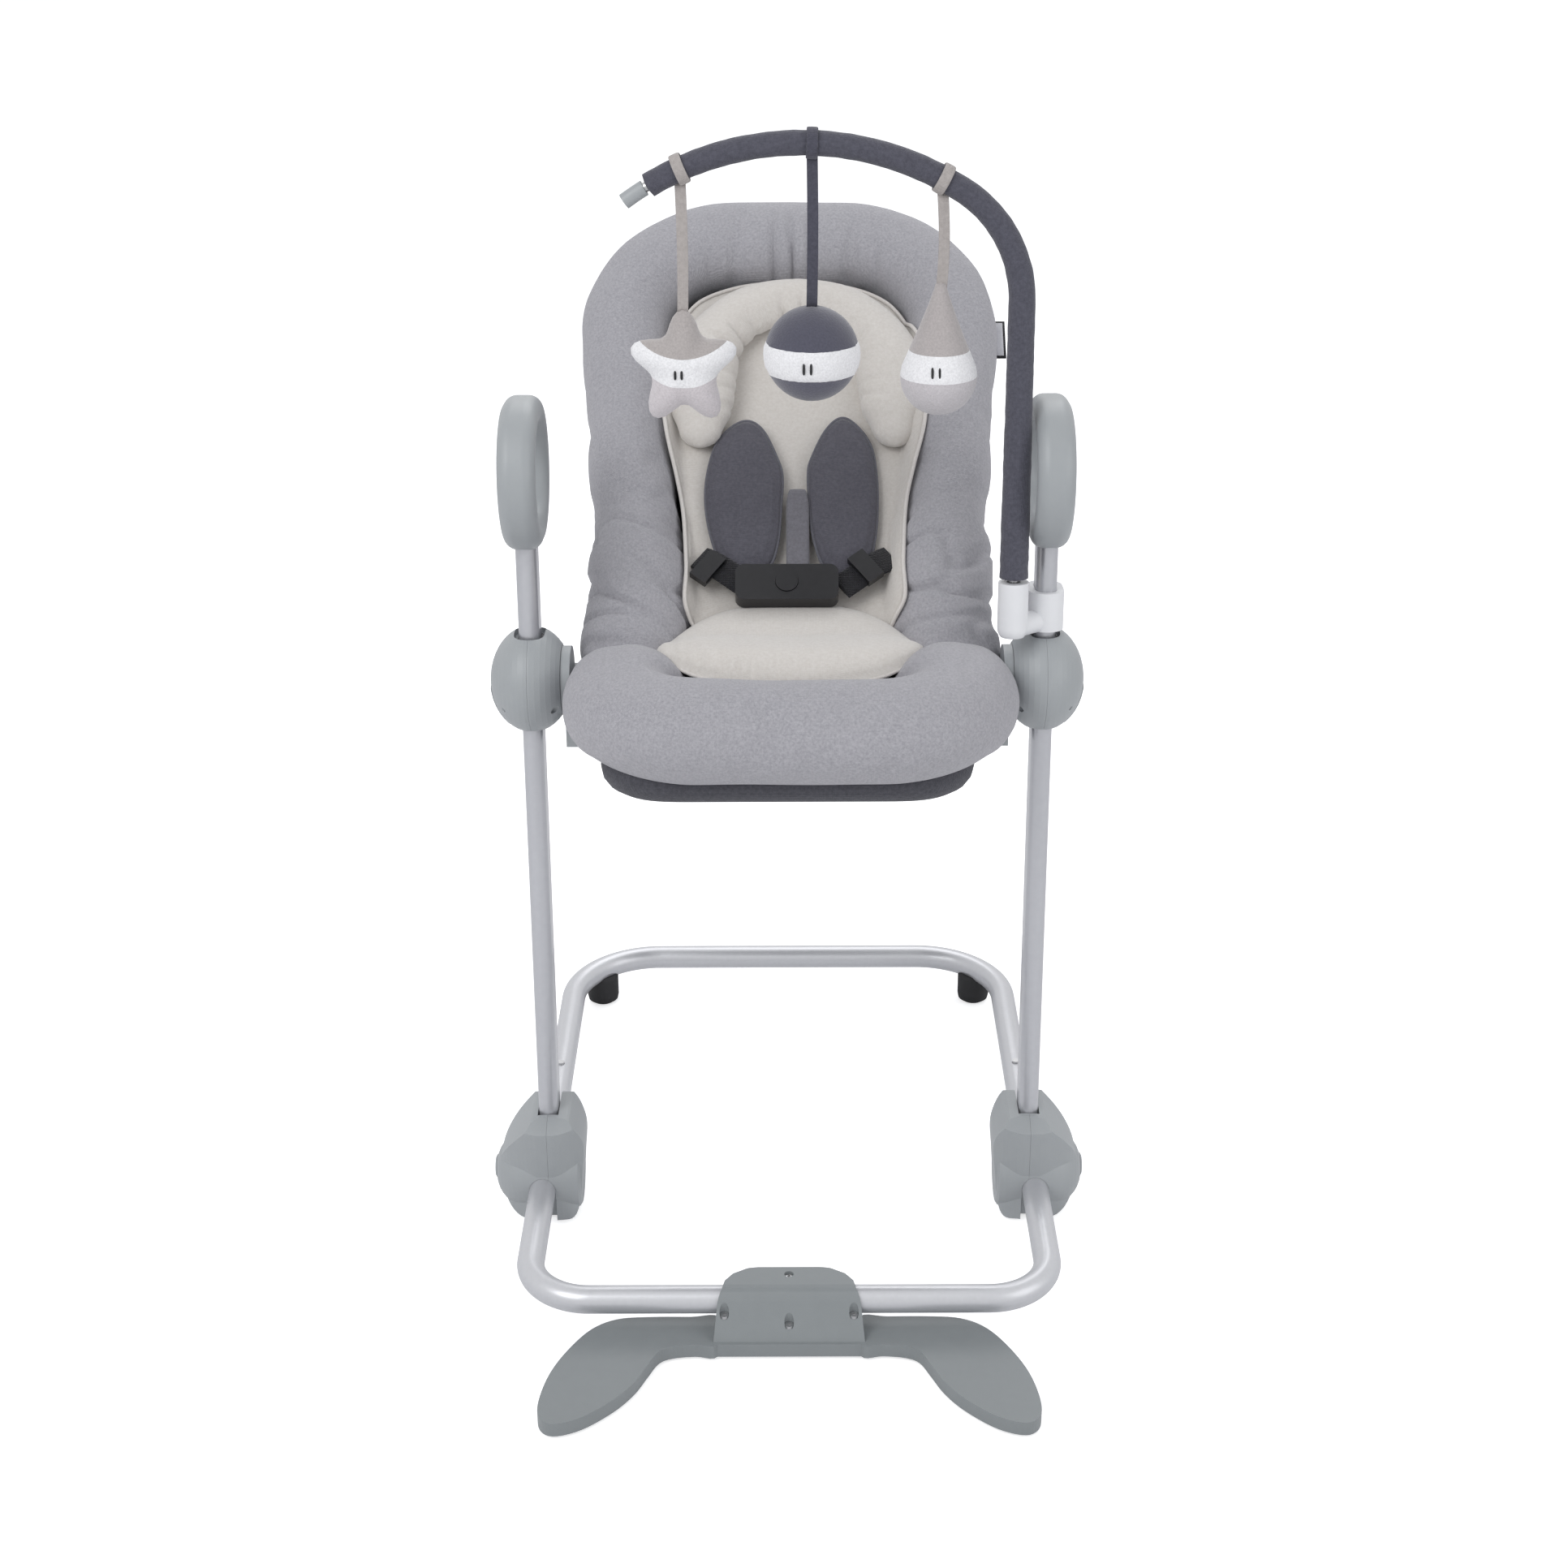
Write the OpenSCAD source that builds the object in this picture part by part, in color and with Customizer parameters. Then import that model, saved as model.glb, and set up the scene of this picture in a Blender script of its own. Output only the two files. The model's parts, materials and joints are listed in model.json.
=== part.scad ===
// Height-adjustable bouncer seat on a folding tube stand, with a swivelling toy arch.
// X is across the seat, -Y is the front, +Z is up, and the floor is z = 0. Millimetres.

/* [Base frame] */
// Distance between the centre lines of the left and right base legs
base_w = 460; // [430:1:500]
// Outside diameter of the base tubes
base_tube_d = 24.5; // [22:0.5:26]
// Wall of the base tubes
base_tube_wall = 1.5; // [1:0.1:2.5]
// Height of the base tubes' centre line above the floor
base_z = 38; // [36:1:42]
// Hub centre to the front tube's centre line
front_leg = 201; // [170:1:240]
// Hub centre to the rear tube's centre line
rear_leg = 415; // [350:1:450]
// Bend radius of the front corners
front_bend = 56; // [45:1:75]
// Bend radius of the rear corners
rear_bend = 90; // [60:1:110]
// How far the foot plate's lobes reach in front of the front tube
foot_reach = 137; // [110:1:150]
// Thickness of the foot plate's lobes
lobe_t = 13; // [9:0.5:16]
// Diameter of the rear rubber feet
foot_d = 34; // [28:1:40]

/* [Uprights] */
// Distance between the centre lines of the two uprights
upright_w = 448; // [430:1:480]
// Width of the flat-oval upright tube, across the seat
upright_x = 18; // [16:0.5:20]
// Depth of the flat-oval upright tube, front to back
upright_y = 36; // [30:1:40]
// Wall of the upright tube
upright_wall = 1.6; // [1.2:0.1:2.5]
// Backward lean of the uprights, in degrees
lean = 5; // [2:0.5:8]
// Height of the fold pivot above the floor
pivot_z = 72; // [70:1:80]
// Height of the hand loop's centre above the floor
loop_z = 705; // [660:1:760]
// Outside radius of the hand loop
loop_r = 64; // [55:1:70]
// Thickness of the hand loop's band
loop_band = 25; // [20:1:28]
// Width of the hand loop's band, across the seat
loop_x = 32; // [28:1:34]

/* [Carriage] */
// Height of the recline axis above the floor at the top setting
seat_z = 522; // [500:1:560]
// Radius of the ball carriage, front to back
ball_r = 47; // [42:1:50]
// Half width of the ball carriage, across the seat
ball_x = 36; // [34:1:38]
// Wall of the guide bush
bush_wall = 1.5; // [1:0.1:2.5]
// Radius of the recline axle
axle_r = 6; // [5:0.5:8]
// Number of height settings
height_steps = 4; // [3:1:5]
// Distance between two height settings
height_pitch = 75; // [60:1:78]

/* [Seat] */
// Angle of the backrest above level
back_angle = 40; // [30:1:48]
// Recline axis to the middle of the front roll
pan_reach = 110; // [95:1:125]
// Length of the straight backrest, from the knee of the frame to the head roll
back_len = 396; // [360:1:430]
// Half width of the seat ring's centre line at the hips
ring_w = 136; // [128:1:137]
// How much wider the ring's centre line is at the head and the knees
ring_flare = 14; // [6:1:16]
// Radius of the padded ring
ring_r = 42; // [36:1:42]
// Diameter of the seat frame tube
frame_d = 16; // [14:1:18]
// Radius of the knee bend of the seat frame
knee_r = 120; // [90:1:140]

/* [Toy arch] */
// Distance of the arch socket from the middle of the seat
arch_x = 193; // [193:1:196]
// How far the arch stands in front of the right upright
arch_front = 35; // [34:1:40]
// Straight height of the arch above its socket's floor
arch_h = 275; // [220:1:300]
// Radius of the arch's shoulder
arch_r1 = 105; // [90:1:120]
// Radius of the arch's span
arch_r2 = 246; // [230:1:260]
// Diameter of the padded sleeve
sleeve_d = 20; // [17:0.5:24]
// Diameter of the arch rod
rod_d = 8; // [6:0.5:9]
// Width of the toy ribbons
ribbon_w = 9; // [6:0.5:12]

/* [Hidden] */
$fn = 48;

slip = 0.3;            // gap between bodies that move past each other
fit = 0.15;            // gap between pieces of one body
run = 0.05;            // running clearance of a pin in its bore
big = 2000;            // larger than anything here

grip_t = 3;            // rubber under the foot plate
tube_r = base_tube_d / 2;
half_base = base_w / 2;
half_up = upright_w / 2;
ball_lean_y = (seat_z - base_z) * tan(lean);
head_y = pan_knee_y() + knee_r * sin(back_angle) + back_len * cos(back_angle);
hub_y = (front_leg + foot_reach - ball_lean_y - head_y - ring_r) / 2;
front_y = hub_y - front_leg;
rear_y = hub_y + rear_leg;
pivot_y = hub_y + (pivot_z - base_z) * tan(lean);
seat_y = hub_y + ball_lean_y;
loop_y = hub_y + (loop_z - base_z) * tan(lean);

silver = [0.75, 0.76, 0.78];
grey = [0.62, 0.66, 0.66];
black = [0.08, 0.08, 0.09];
white = [0.93, 0.93, 0.94];
heather = [0.62, 0.62, 0.66];
dark = [0.3, 0.3, 0.33];
beige = [0.78, 0.76, 0.73];
slate = [0.36, 0.37, 0.43];

// ---------- helpers ----------

// Draws the child on the right and its mirror image on the left
module both_sides() {
    children();
    mirror([1, 0, 0]) children();
}

// Child drawn for the right side: side is 1 for right, -1 for left
module on_side(side) {
    if (side > 0) children();
    else mirror([1, 0, 0]) children();
}

// Local z runs up the leaning upright, and the origin is at height z on its centre line
module along_upright(z, x = 0) {
    translate([x, hub_y + (z - base_z) * tan(lean), z]) rotate([-lean, 0, 0]) children();
}

// Flat-oval outline with half-round ends at the front and the back
module flat_oval(w, d) {
    square([w, d - w], center = true);
    for (s = [-1, 1]) translate([0, s * (d - w) / 2]) circle(d = w);
}

module bar_x(x0, x1, r) {
    translate([x0, 0, 0]) rotate([0, 90, 0]) cylinder(r = r, h = x1 - x0);
}

module box(x, y, z) {
    translate([x[0], y[0], z[0]]) cube([x[1] - x[0], y[1] - y[0], z[1] - z[0]]);
}

// Closed smooth outline through a few points
function smooth(p, n = 5) = [
    for (i = [0 : len(p) - 1], k = [0 : n - 1])
        let (m = len(p), a = p[(i + m - 1) % m], b = p[i], c = p[(i + 1) % m], d = p[(i + 2) % m], t = k / n)
            0.5 * (2 * b + (c - a) * t + (2 * a - 5 * b + 4 * c - d) * t * t + (3 * b - a - 3 * c + d) * t * t * t)
];

// Tube of a U-shaped base frame: two legs, two bends and a cross piece.
// dir is -1 for the front and 1 for the rear; r is the outline's radius.
module u_path(leg, bend, dir, r, start) {
    straight = leg - bend - start;
    for (s = [-1, 1]) {
        translate([s * half_base, dir * start, 0]) rotate([-dir * 90, 0, 0]) cylinder(r = r, h = straight);
        translate([s * (half_base - bend), dir * (leg - bend), 0])
            rotate([0, 0, s > 0 ? (dir > 0 ? 0 : -90) : (dir > 0 ? 90 : 180)])
                rotate_extrude(angle = 90) translate([bend, 0]) circle(r = r);
    }
    translate([0, dir * leg, 0]) translate([-half_base + bend, 0, 0]) rotate([0, 90, 0])
        cylinder(r = r, h = base_w - 2 * bend);
}

module u_tube(leg, bend, dir, start) {
    translate([0, hub_y, base_z]) difference() {
        u_path(leg, bend, dir, tube_r, start);
        u_path(leg, bend, dir, tube_r - base_tube_wall, start - 1);
    }
}

// ---------- base ----------

tube_start = 12;                     // gap from the hub's centre to each tube's end
spigot_len = 200;
spigot_r = tube_r - base_tube_wall - fit;
snap_y = hub_y + 171;                // spring button of the plug-in rear tube
snap_r = 3.5;
snap_travel = 3;

module front_tube() { color(silver) u_tube(front_leg, front_bend, -1, tube_start); }

module rear_tube() {
    color(silver) difference() {
        u_tube(rear_leg, rear_bend, 1, tube_start);
        both_sides() translate([half_base, snap_y, base_z]) cylinder(r = snap_r + slip, h = tube_r + 5);
    }
}

// Steel tubes fixed in the hubs, over which the rear tube is pushed
module rear_spigots() {
    color(silver) both_sides() translate([half_base, hub_y + tube_start, base_z]) rotate([-90, 0, 0])
        difference() {
            cylinder(r = spigot_r, h = spigot_len);
            translate([0, 0, -1]) cylinder(r = spigot_r - 1.5, h = spigot_len + 2);
            translate([0, 0, snap_y - hub_y - tube_start]) rotate([90, 0, 0])
                cylinder(r = snap_r + slip, h = tube_r + 5);
        }
}

module snap_button(side) {
    color(silver) on_side(side) translate([half_base, snap_y, base_z]) {
        translate([0, 0, 2]) cylinder(r = snap_r, h = tube_r);
        cylinder(r = snap_r + 2, h = 3);
    }
}

hub_in = 190;          // inner face of the hub
hub_out = 276;         // outer pole of the hub's dome
hub_r = 37;            // radius of the hub's drum
hub_half_y = 31;       // half length of the hub's neck
hub_top = 106;
pin_r = 5;
button_r = 11;
button_travel = 4;
slot_gap = 0.7;        // beside the upright's shoe

// Solid of the hub on the right side, before it is hollowed
module hub_solid() {
    rim = hub_out - 34;
    drum = concat([[0, hub_in + 5], [hub_r - 4, hub_in + 5], [hub_r - 1, hub_in + 7], [hub_r, hub_in + 13]],
        [for (a = [0 : 9 : 90]) [hub_r * pow(cos(a), 0.8), rim + (hub_out - rim) * sin(a)]]);
    neck = [[202, 5], [196, 20], [193, 50], [191, 76], [194, 90], [201, hub_top - 4], [209, hub_top],
        [234, hub_top], [244, hub_top - 7], [259, 82], [269, 64], [271, 46], [267, 24], [256, 8], [240, 4], [215, 4]];
    translate([0, hub_y, base_z + 2]) rotate([0, 90, 0]) rotate_extrude() polygon(drum);
    intersection() {
        translate([0, hub_y + hub_half_y + 4, 0]) rotate([90, 0, 0]) linear_extrude(2 * hub_half_y + 8)
            polygon(smooth(neck, 4));
        translate([0, hub_y + 4, base_z + 4]) bar_x(0, big, 68);
        translate([hub_in, hub_y, 0]) linear_extrude(big) hub_plan();
    }
}

// Plan outline that rounds the hub's front and back
module hub_plan() {
    w = hub_out - hub_in;
    e = hub_half_y + 4;
    polygon(smooth([[-2, -14], [6, -e + 8], [22, -e + 1], [44, -e], [62, -e + 5], [76, -e + 15], [w, 0],
        [76, e - 15], [62, e - 5], [44, e], [22, e - 1], [6, e - 8], [-2, 14]], 4));
}

// Room in which the upright's foot turns, from leaning back to lying level
module upright_slot() {
    w = upright_x + 2 * slot_gap;
    r = upright_y / 2 + slot_gap;
    front = [for (h = [0, 70]) [-r + h * tan(lean), h]];
    translate([half_up - w / 2, pivot_y, pivot_z]) rotate([90, 0, 90]) linear_extrude(w) {
        circle(r = r);
        polygon([front[0], front[1], [90, 70], [90, -r], [0, -r]]);
    }
}

module hub() {
    difference() {
        hub_solid();
        upright_slot();
        translate([half_base, hub_y, base_z]) for (s = [-90, 90]) rotate([s, 0, 0])
            translate([0, 0, tube_start - fit]) cylinder(r = tube_r + fit, h = 100);
        translate([0, pivot_y, pivot_z]) bar_x(hub_in + 8, half_up + 24, pin_r + run);
        translate([0, hub_y, base_z + 4]) bar_x(hub_out - button_travel - 14, big, button_r + slip);
        // the front slot is open below, so that the tube drops in when the shells are joined
        box([half_base - tube_r - fit, half_base + tube_r + fit], [hub_y - 100, hub_y - 26], [0, base_z]);
    }
}

module hub_outer(side) {
    color(grey) on_side(side) intersection() {
        hub();
        box([half_up + fit / 2, big], [-big, big], [-1, big]);
    }
}

module hub_inner(side) {
    color(grey) on_side(side) intersection() {
        hub();
        box([0, half_up - fit / 2], [-big, big], [-1, big]);
    }
}

module fold_pins() {
    color(silver) both_sides() translate([0, pivot_y, pivot_z]) bar_x(hub_in + 9, half_up + 23, pin_r);
}

module fold_button(side) {
    color(grey) on_side(side) translate([0, hub_y, base_z + 4]) rotate([0, 90, 0])
        rotate_extrude() polygon([[0, hub_out - 12], [button_r, hub_out - 12], [button_r, hub_out - 0.5],
            [button_r - 2, hub_out + 0.7], [0, hub_out + 1]]);
}

// Foot plate, drawn about the front tube's centre line
hump_w = 57;
hump_front = -34.5;
hump_back = 30;
hump_top = base_z + tube_r + 3;
hump_slope = 1.6;                    // rise of the hump's front face
clamp_x = 50;
clamp_y = [-16.5, 19.5];
screw_spots = [[0, 15], [0, -22.5], [-56, -18], [56, -18]];
screw_r = 2;
head_r = 3.8;

// How far forward a share of the lobe reaches
function lobe_y(share) = -37 - (foot_reach - 37) * share;

lobe_outline = [
    [62, hump_front], [81, hump_front], [100, -37], [112, lobe_y(0.07)], [121, lobe_y(0.26)],
    [131, lobe_y(0.48)], [147, lobe_y(0.7)], [172, lobe_y(0.92)], [195, lobe_y(1)], [207, lobe_y(0.91)],
    [209, lobe_y(0.7)], [203, lobe_y(0.36)], [190, lobe_y(0.04)], [172, -13], [150, 1], [120, 4], [86, 4], [62, 4]
];

module plate_outline() {
    both() polygon(smooth(lobe_outline, 5));
    translate([-72, hump_front]) square([144, 4 - hump_front]);
}

module both() {
    children();
    mirror([1, 0]) children();
}

module hump_plan() {
    side = [[66, hump_front], [62, -14], [58, -4], [56, 6], [49, 16], [36, 24], [18, hump_back - 1]];
    polygon(concat([for (p = side) p], [[0, hump_back]], [for (k = [len(side) - 1 : -1 : 0]) [-side[k][0], side[k][1]]]));
}

// Height of the hump's skin over its front slope
function hump_skin(y) = lobe_t + grip_t + (y - hump_front - 3) * hump_slope;

module hump_profile() {
    top = lobe_t + grip_t;
    over = hump_top - base_z;
    foot = hump_front + 3;
    polygon(concat(
        [[hump_front, grip_t], [hump_front, top - 3], [foot, top], [-over * sin(60), base_z + over * cos(60)]],
        [for (a = [45 : -15 : 0]) [-over * sin(a), base_z + over * cos(a)]],
        [for (a = [90 : -15 : 0]) [hump_back - 7 + 7 * cos(a), hump_top - 7 + 7 * sin(a)]],
        [[hump_back, grip_t]]));
}

module screw_axes(z0, z1, r) {
    for (p = screw_spots) translate([p[0], front_y + p[1], z0]) cylinder(r = r, h = z1 - z0);
}

function screw_seat(p) = p[1] > 0 ? hump_top - 5 : hump_skin(p[1]) - 5;

module foot_plate() {
    color(grey) difference() {
        translate([0, front_y, 0]) {
            translate([0, 0, grip_t]) linear_extrude(lobe_t) plate_outline();
            intersection() {
                linear_extrude(hump_top) hump_plan();
                translate([-hump_w - 20, 0, 0]) rotate([90, 0, 90]) linear_extrude(2 * hump_w + 40) hump_profile();
            }
        }
        box([-clamp_x, clamp_x], [front_y + clamp_y[0], front_y + clamp_y[1]], [0, base_z + fit]);
        translate([0, front_y, base_z]) bar_x(-half_base, half_base, tube_r + fit);
        box([-half_base, half_base], [front_y - tube_r - fit, front_y + tube_r + fit], [lobe_t + grip_t, base_z]);
        screw_axes(0, big, screw_r + fit);
        for (p = screw_spots) translate([p[0], front_y + p[1], screw_seat(p)]) cylinder(r = head_r + slip, h = 60);
    }
}

module foot_clamp() {
    color(grey) difference() {
        box([-clamp_x + fit, clamp_x - fit], [front_y + clamp_y[0] + fit, front_y + clamp_y[1] - fit],
            [grip_t + fit, base_z - fit]);
        translate([0, front_y, base_z]) bar_x(-half_base, half_base, tube_r + fit);
        screw_axes(0, big, screw_r + fit);
    }
}

module foot_screws() {
    color(silver) for (p = screw_spots) translate([p[0], front_y + p[1], 0]) difference() {
        union() {
            translate([0, 0, grip_t + 2]) cylinder(r = screw_r, h = screw_seat(p) - grip_t - 1);
            translate([0, 0, screw_seat(p) + fit]) cylinder(r = head_r, h = 2.6);
        }
        translate([0, 0, screw_seat(p) + 1.2]) cylinder(r = 1.6, h = 9, $fn = 6);
    }
}

module front_grip_pads() {
    color(black) {
        both_sides() for (p = [[186, -98, 18], [172, -40, 14], [132, -14, 12]])
            translate([p[0], front_y + p[1], 0]) cylinder(r = p[2], h = grip_t);
        both_sides() translate([40, front_y - 24.5, 0]) cylinder(r = 4, h = grip_t);
    }
}

foot_angle = 45;       // where on the rear bend the foot sits
module rear_feet() {
    cx = half_base - rear_bend;
    cy = rear_y - rear_bend;
    color(black) difference() {
        both_sides() translate([cx + rear_bend * cos(foot_angle), cy + rear_bend * sin(foot_angle), 0])
            rotate_extrude() polygon([[0, 0], [foot_d / 2 - 5, 0], [foot_d / 2 - 1, 3], [foot_d / 2, 8],
                [foot_d / 2, base_z - 8], [foot_d / 2 - 2, base_z - 5], [0, base_z - 5]]);
        translate([0, hub_y, base_z]) u_path(rear_leg, rear_bend, 1, tube_r + fit, tube_start);
    }
}

// ---------- uprights ----------

upright_low = pivot_z + 20;
upright_high = loop_z - loop_r + 20;
pocket = 20;                         // depth of the upright in the hand loop
rise = 1 / cos(lean);
hole_r = 3.4;

module upright(side) {
    len = (upright_high - upright_low) * rise;
    color(silver) on_side(side) along_upright(upright_low, half_up) difference() {
        linear_extrude(len) difference() {
            flat_oval(upright_x, upright_y);
            flat_oval(upright_x - 2 * upright_wall, upright_y - 2 * upright_wall);
        }
        for (k = [0 : height_steps - 1])
            translate([0, 0, (seat_z - upright_low) * rise - 12 - k * height_pitch])
                bar_x(0, upright_x, hole_r);
    }
}

// Moulded plug in the tube's lower end, with the eye for the fold pin
module upright_shoes() {
    r = upright_y / 2 - fit;
    color(dark) both_sides() along_upright(pivot_z, half_up) difference() {
        union() {
            translate([-half_up, 0, 0]) bar_x(half_up - upright_x / 2, half_up + upright_x / 2, r);
            linear_extrude((upright_low - pivot_z) * rise - fit) flat_oval(upright_x, upright_y);
            linear_extrude((upright_low - pivot_z) * rise + 40)
                flat_oval(upright_x - 2 * upright_wall - 2 * fit, upright_y - 2 * upright_wall - 2 * fit);
        }
        bar_x(-upright_x, upright_x, pin_r + run);
    }
}

// Hand loop in the side plane, a rounded band bent into a long ring
loop_long = 14;
module loop_band_profile() {
    r = 11;
    translate([loop_r - loop_band, -loop_x / 2]) {
        translate([r, 0]) square([loop_band - 2 * r, loop_x]);
        translate([0, r]) square([loop_band, loop_x - 2 * r]);
        for (x = [r, loop_band - r], y = [r, loop_x - r]) translate([x, y]) circle(r = r);
    }
}

module hand_loop(side) {
    color(grey) on_side(side) along_upright(loop_z, half_up) difference() {
        rotate([0, 90, 0]) {
            for (s = [-1, 1]) translate([0, s * loop_long / 2, 0]) rotate([0, 0, s > 0 ? 0 : 180])
                rotate_extrude(angle = 180) loop_band_profile();
            for (s = [0, 180]) rotate([0, 0, s]) translate([0, loop_long / 2, 0]) rotate([90, 0, 0])
                linear_extrude(loop_long) loop_band_profile();
        }
        translate([0, 0, (upright_high - loop_z) * rise - 60 + fit]) linear_extrude(60)
            flat_oval(upright_x + 2 * fit, upright_y + 2 * fit);
    }
}

// ---------- carriages ----------

bush_x = upright_x + 2 * slip + 2 * bush_wall;
bush_y = upright_y + 2 * slip + 2 * bush_wall;
bush_len = 74;
ball_flat = 27;                      // inner flat of the ball, measured from its middle
lever_y = 13;
lever_z = [-38, -6];
lever_pivot = [22, -23];             // across and up from the ball's middle
lever_floor = 14.5;

// Ball on the right side: an ellipse turned about the recline axis, cut flat on the inside
module ball_solid(grow = 0) {
    a = asin(ball_flat / ball_x);
    n = 18;
    ring = [for (k = [0 : n]) let (t = -a + k * (90 + a) / n) [(ball_r + grow) * cos(t), (ball_x + grow) * sin(t)]];
    rotate([0, 90, 0]) rotate_extrude() polygon(concat([[0, -ball_flat]], ring));
}

module ball() {
    translate([half_up, seat_y, seat_z]) difference() {
        ball_solid();
        rotate([-lean, 0, 0]) {
            translate([0, 0, -80]) linear_extrude(160) flat_oval(bush_x + 2 * fit, bush_y + 2 * fit);
            translate([0, 0, bush_len / 2 + fit]) linear_extrude(60) flat_oval(bush_x + 5, bush_y + 5);
            translate([0, 0, -bush_len / 2 - fit - 60]) linear_extrude(60) flat_oval(bush_x + 5, bush_y + 5);
        }
        box([lever_floor, 80], [-lever_y - 0.6, lever_y + 0.6], [lever_z[0] - 2, lever_z[1] + 1.5]);
        rotate([-lean, 0, 0]) translate([0, 0, -12]) bar_x(0, 30, hole_r + 1);
        translate([lever_pivot[0], 18, lever_pivot[1]]) rotate([90, 0, 0]) cylinder(r = 2 + run, h = 36);
        bar_x(-50, -bush_x / 2 - 2.5, axle_r + run);
        for (y = [-33, 33]) translate([0, y, -16]) {
            bar_x(-ball_x, ball_x, 1.6 + fit);
            bar_x(-ball_x, -16, 3.2);
        }
    }
}

module ball_outer(side) {
    color(grey) on_side(side) intersection() {
        ball();
        box([half_up + fit / 2, big], [-big, big], [0, big]);
    }
}

module ball_inner(side) {
    color(grey) on_side(side) intersection() {
        ball();
        box([0, half_up - fit / 2], [-big, big], [0, big]);
    }
}

module ball_screws() {
    color(silver) both_sides() translate([half_up, seat_y, seat_z]) for (y = [-33, 33]) translate([0, y, -16]) {
        bar_x(-16.2, 10, 1.6);
        bar_x(-18.5, -16.1, 2.9);
    }
}

module guide_bushes() {
    color(dark) both_sides() translate([half_up, seat_y, seat_z]) rotate([-lean, 0, 0])
        difference() {
            translate([0, 0, -bush_len / 2]) linear_extrude(bush_len) difference() {
                flat_oval(bush_x, bush_y);
                flat_oval(upright_x + 2 * slip, upright_y + 2 * slip);
            }
            translate([0, 0, -12]) bar_x(0, bush_x, hole_r + 1);
        }
}

// Rocking lever on the outer side; its pin points into the upright's holes
module height_lever(side) {
    color(grey) on_side(side) translate([half_up, seat_y, seat_z]) {
        intersection() {
            ball_solid(0.8);
            box([lever_floor + 3.5, 80], [-lever_y, lever_y], lever_z);
        }
        rotate([-lean, 0, 0]) translate([0, 0, -12]) bar_x(upright_x / 2 + 0.6, lever_floor + 5, 2.8);
        translate([lever_pivot[0], 17, lever_pivot[1]]) rotate([90, 0, 0]) cylinder(r = 2, h = 34);
    }
}

clamp_low = 0.4;                     // above the ball
clamp_len = 34;
clamp_wall = 6.5;
socket_r = 13;
socket_len = 40;
socket_bore = rod_d / 2 + 2;

// Frame with its origin on the upright's centre line, at the ball's top
module clamp_frame() {
    along_upright(seat_z, half_up) translate([0, 0, ball_r + clamp_low]) children();
}

module arch_clamp() {
    ax = arch_x - half_up;
    color(white) clamp_frame() difference() {
        union() {
            linear_extrude(clamp_len) flat_oval(upright_x + 2 * clamp_wall, upright_y + 2 * clamp_wall);
            translate([ax, -arch_front, 8]) {
                cylinder(r = socket_r, h = socket_len);
                sphere(r = socket_r);
            }
            translate([ax, -arch_front, 8]) rotate([0, 90, atan2(arch_front - 8, -ax)])
                cylinder(r = 10, h = norm([ax, arch_front - 8]));
        }
        translate([0, 0, -20]) linear_extrude(clamp_len + 40) flat_oval(upright_x + 2 * slip, upright_y + 2 * slip);
        translate([ax, -arch_front, 8]) cylinder(r = socket_bore, h = big);
        translate([-60, -120, -40 - clamp_low + clamp_low]) cube([120, 240, 40]);
    }
}

// ---------- toy arch ----------

module arch_frame() {
    clamp_frame() translate([arch_x - half_up, -arch_front, 8.3]) children();
}

arch_a1 = 60;                        // turn of the shoulder
arch_a2 = 123;                       // where the span ends
arch_c1 = [-arch_r1, arch_h];
arch_mid = 6;                        // straight between the two bends
arch_c2 = arch_c1 + (arch_r1 - arch_r2) * [cos(arch_a1), sin(arch_a1)] + arch_mid * [-sin(arch_a1), cos(arch_a1)];

// Sweeps the child outline up the arch, from z0 in the socket to the angle end;
// a second child is the outline in the bends, which then lap over the straights
module arch_path(z0, end, lap = 0) {
    translate([0, 0, z0]) linear_extrude(arch_h - z0) children(0);
    rotate([90, 0, 0]) translate(arch_c1) {
        rotate([0, 0, -lap]) rotate_extrude(angle = arch_a1 + 2 * lap)
            translate([arch_r1, 0]) children($children - 1);
        rotate([0, 0, arch_a1]) {
            translate([arch_r1, 0, 0]) rotate([-90, 0, 0]) linear_extrude(arch_mid) children(0);
            translate([arch_r1 - arch_r2, arch_mid, 0]) rotate([0, 0, -lap])
                rotate_extrude(angle = end - arch_a1 + lap) translate([arch_r2, 0]) children($children - 1);
        }
    }
}

bush_r = socket_bore - run;
sleeve_low = socket_len + 1;

module arch_rod() {
    color(silver) arch_frame() {
        arch_path(0, arch_a2, 0.4) {
            circle(d = rod_d);
            circle(d = rod_d + 0.2);
        }
        cylinder(r = bush_r, h = socket_len - 4);
    }
}

module sleeve_outline(more, less) {
    difference() {
        circle(d = sleeve_d + more);
        circle(d = rod_d + 2 * fit - less);
    }
}

module arch_sleeve() {
    color(slate) arch_frame() arch_path(sleeve_low, arch_a2 - 2.5, 0.4) {
        sleeve_outline(0, 0);
        sleeve_outline(0.3, 0.1);
    }
}

module arch_end_clip() {
    color(grey) arch_frame() rotate([90, 0, 0]) translate(arch_c2) rotate([0, 0, arch_a2 - 2.2])
        rotate_extrude(angle = 4.6) translate([arch_r2, 0]) difference() {
            circle(d = rod_d + 5);
            circle(d = rod_d + 2 * fit);
        }
}

// Toys hang plumb from the sleeve: angle on the span, ribbon length
toy_left = [114.4, 99];
toy_middle = [87.8, 117];
toy_right = [60.8, 78];
toy_gap = 0.5;

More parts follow.
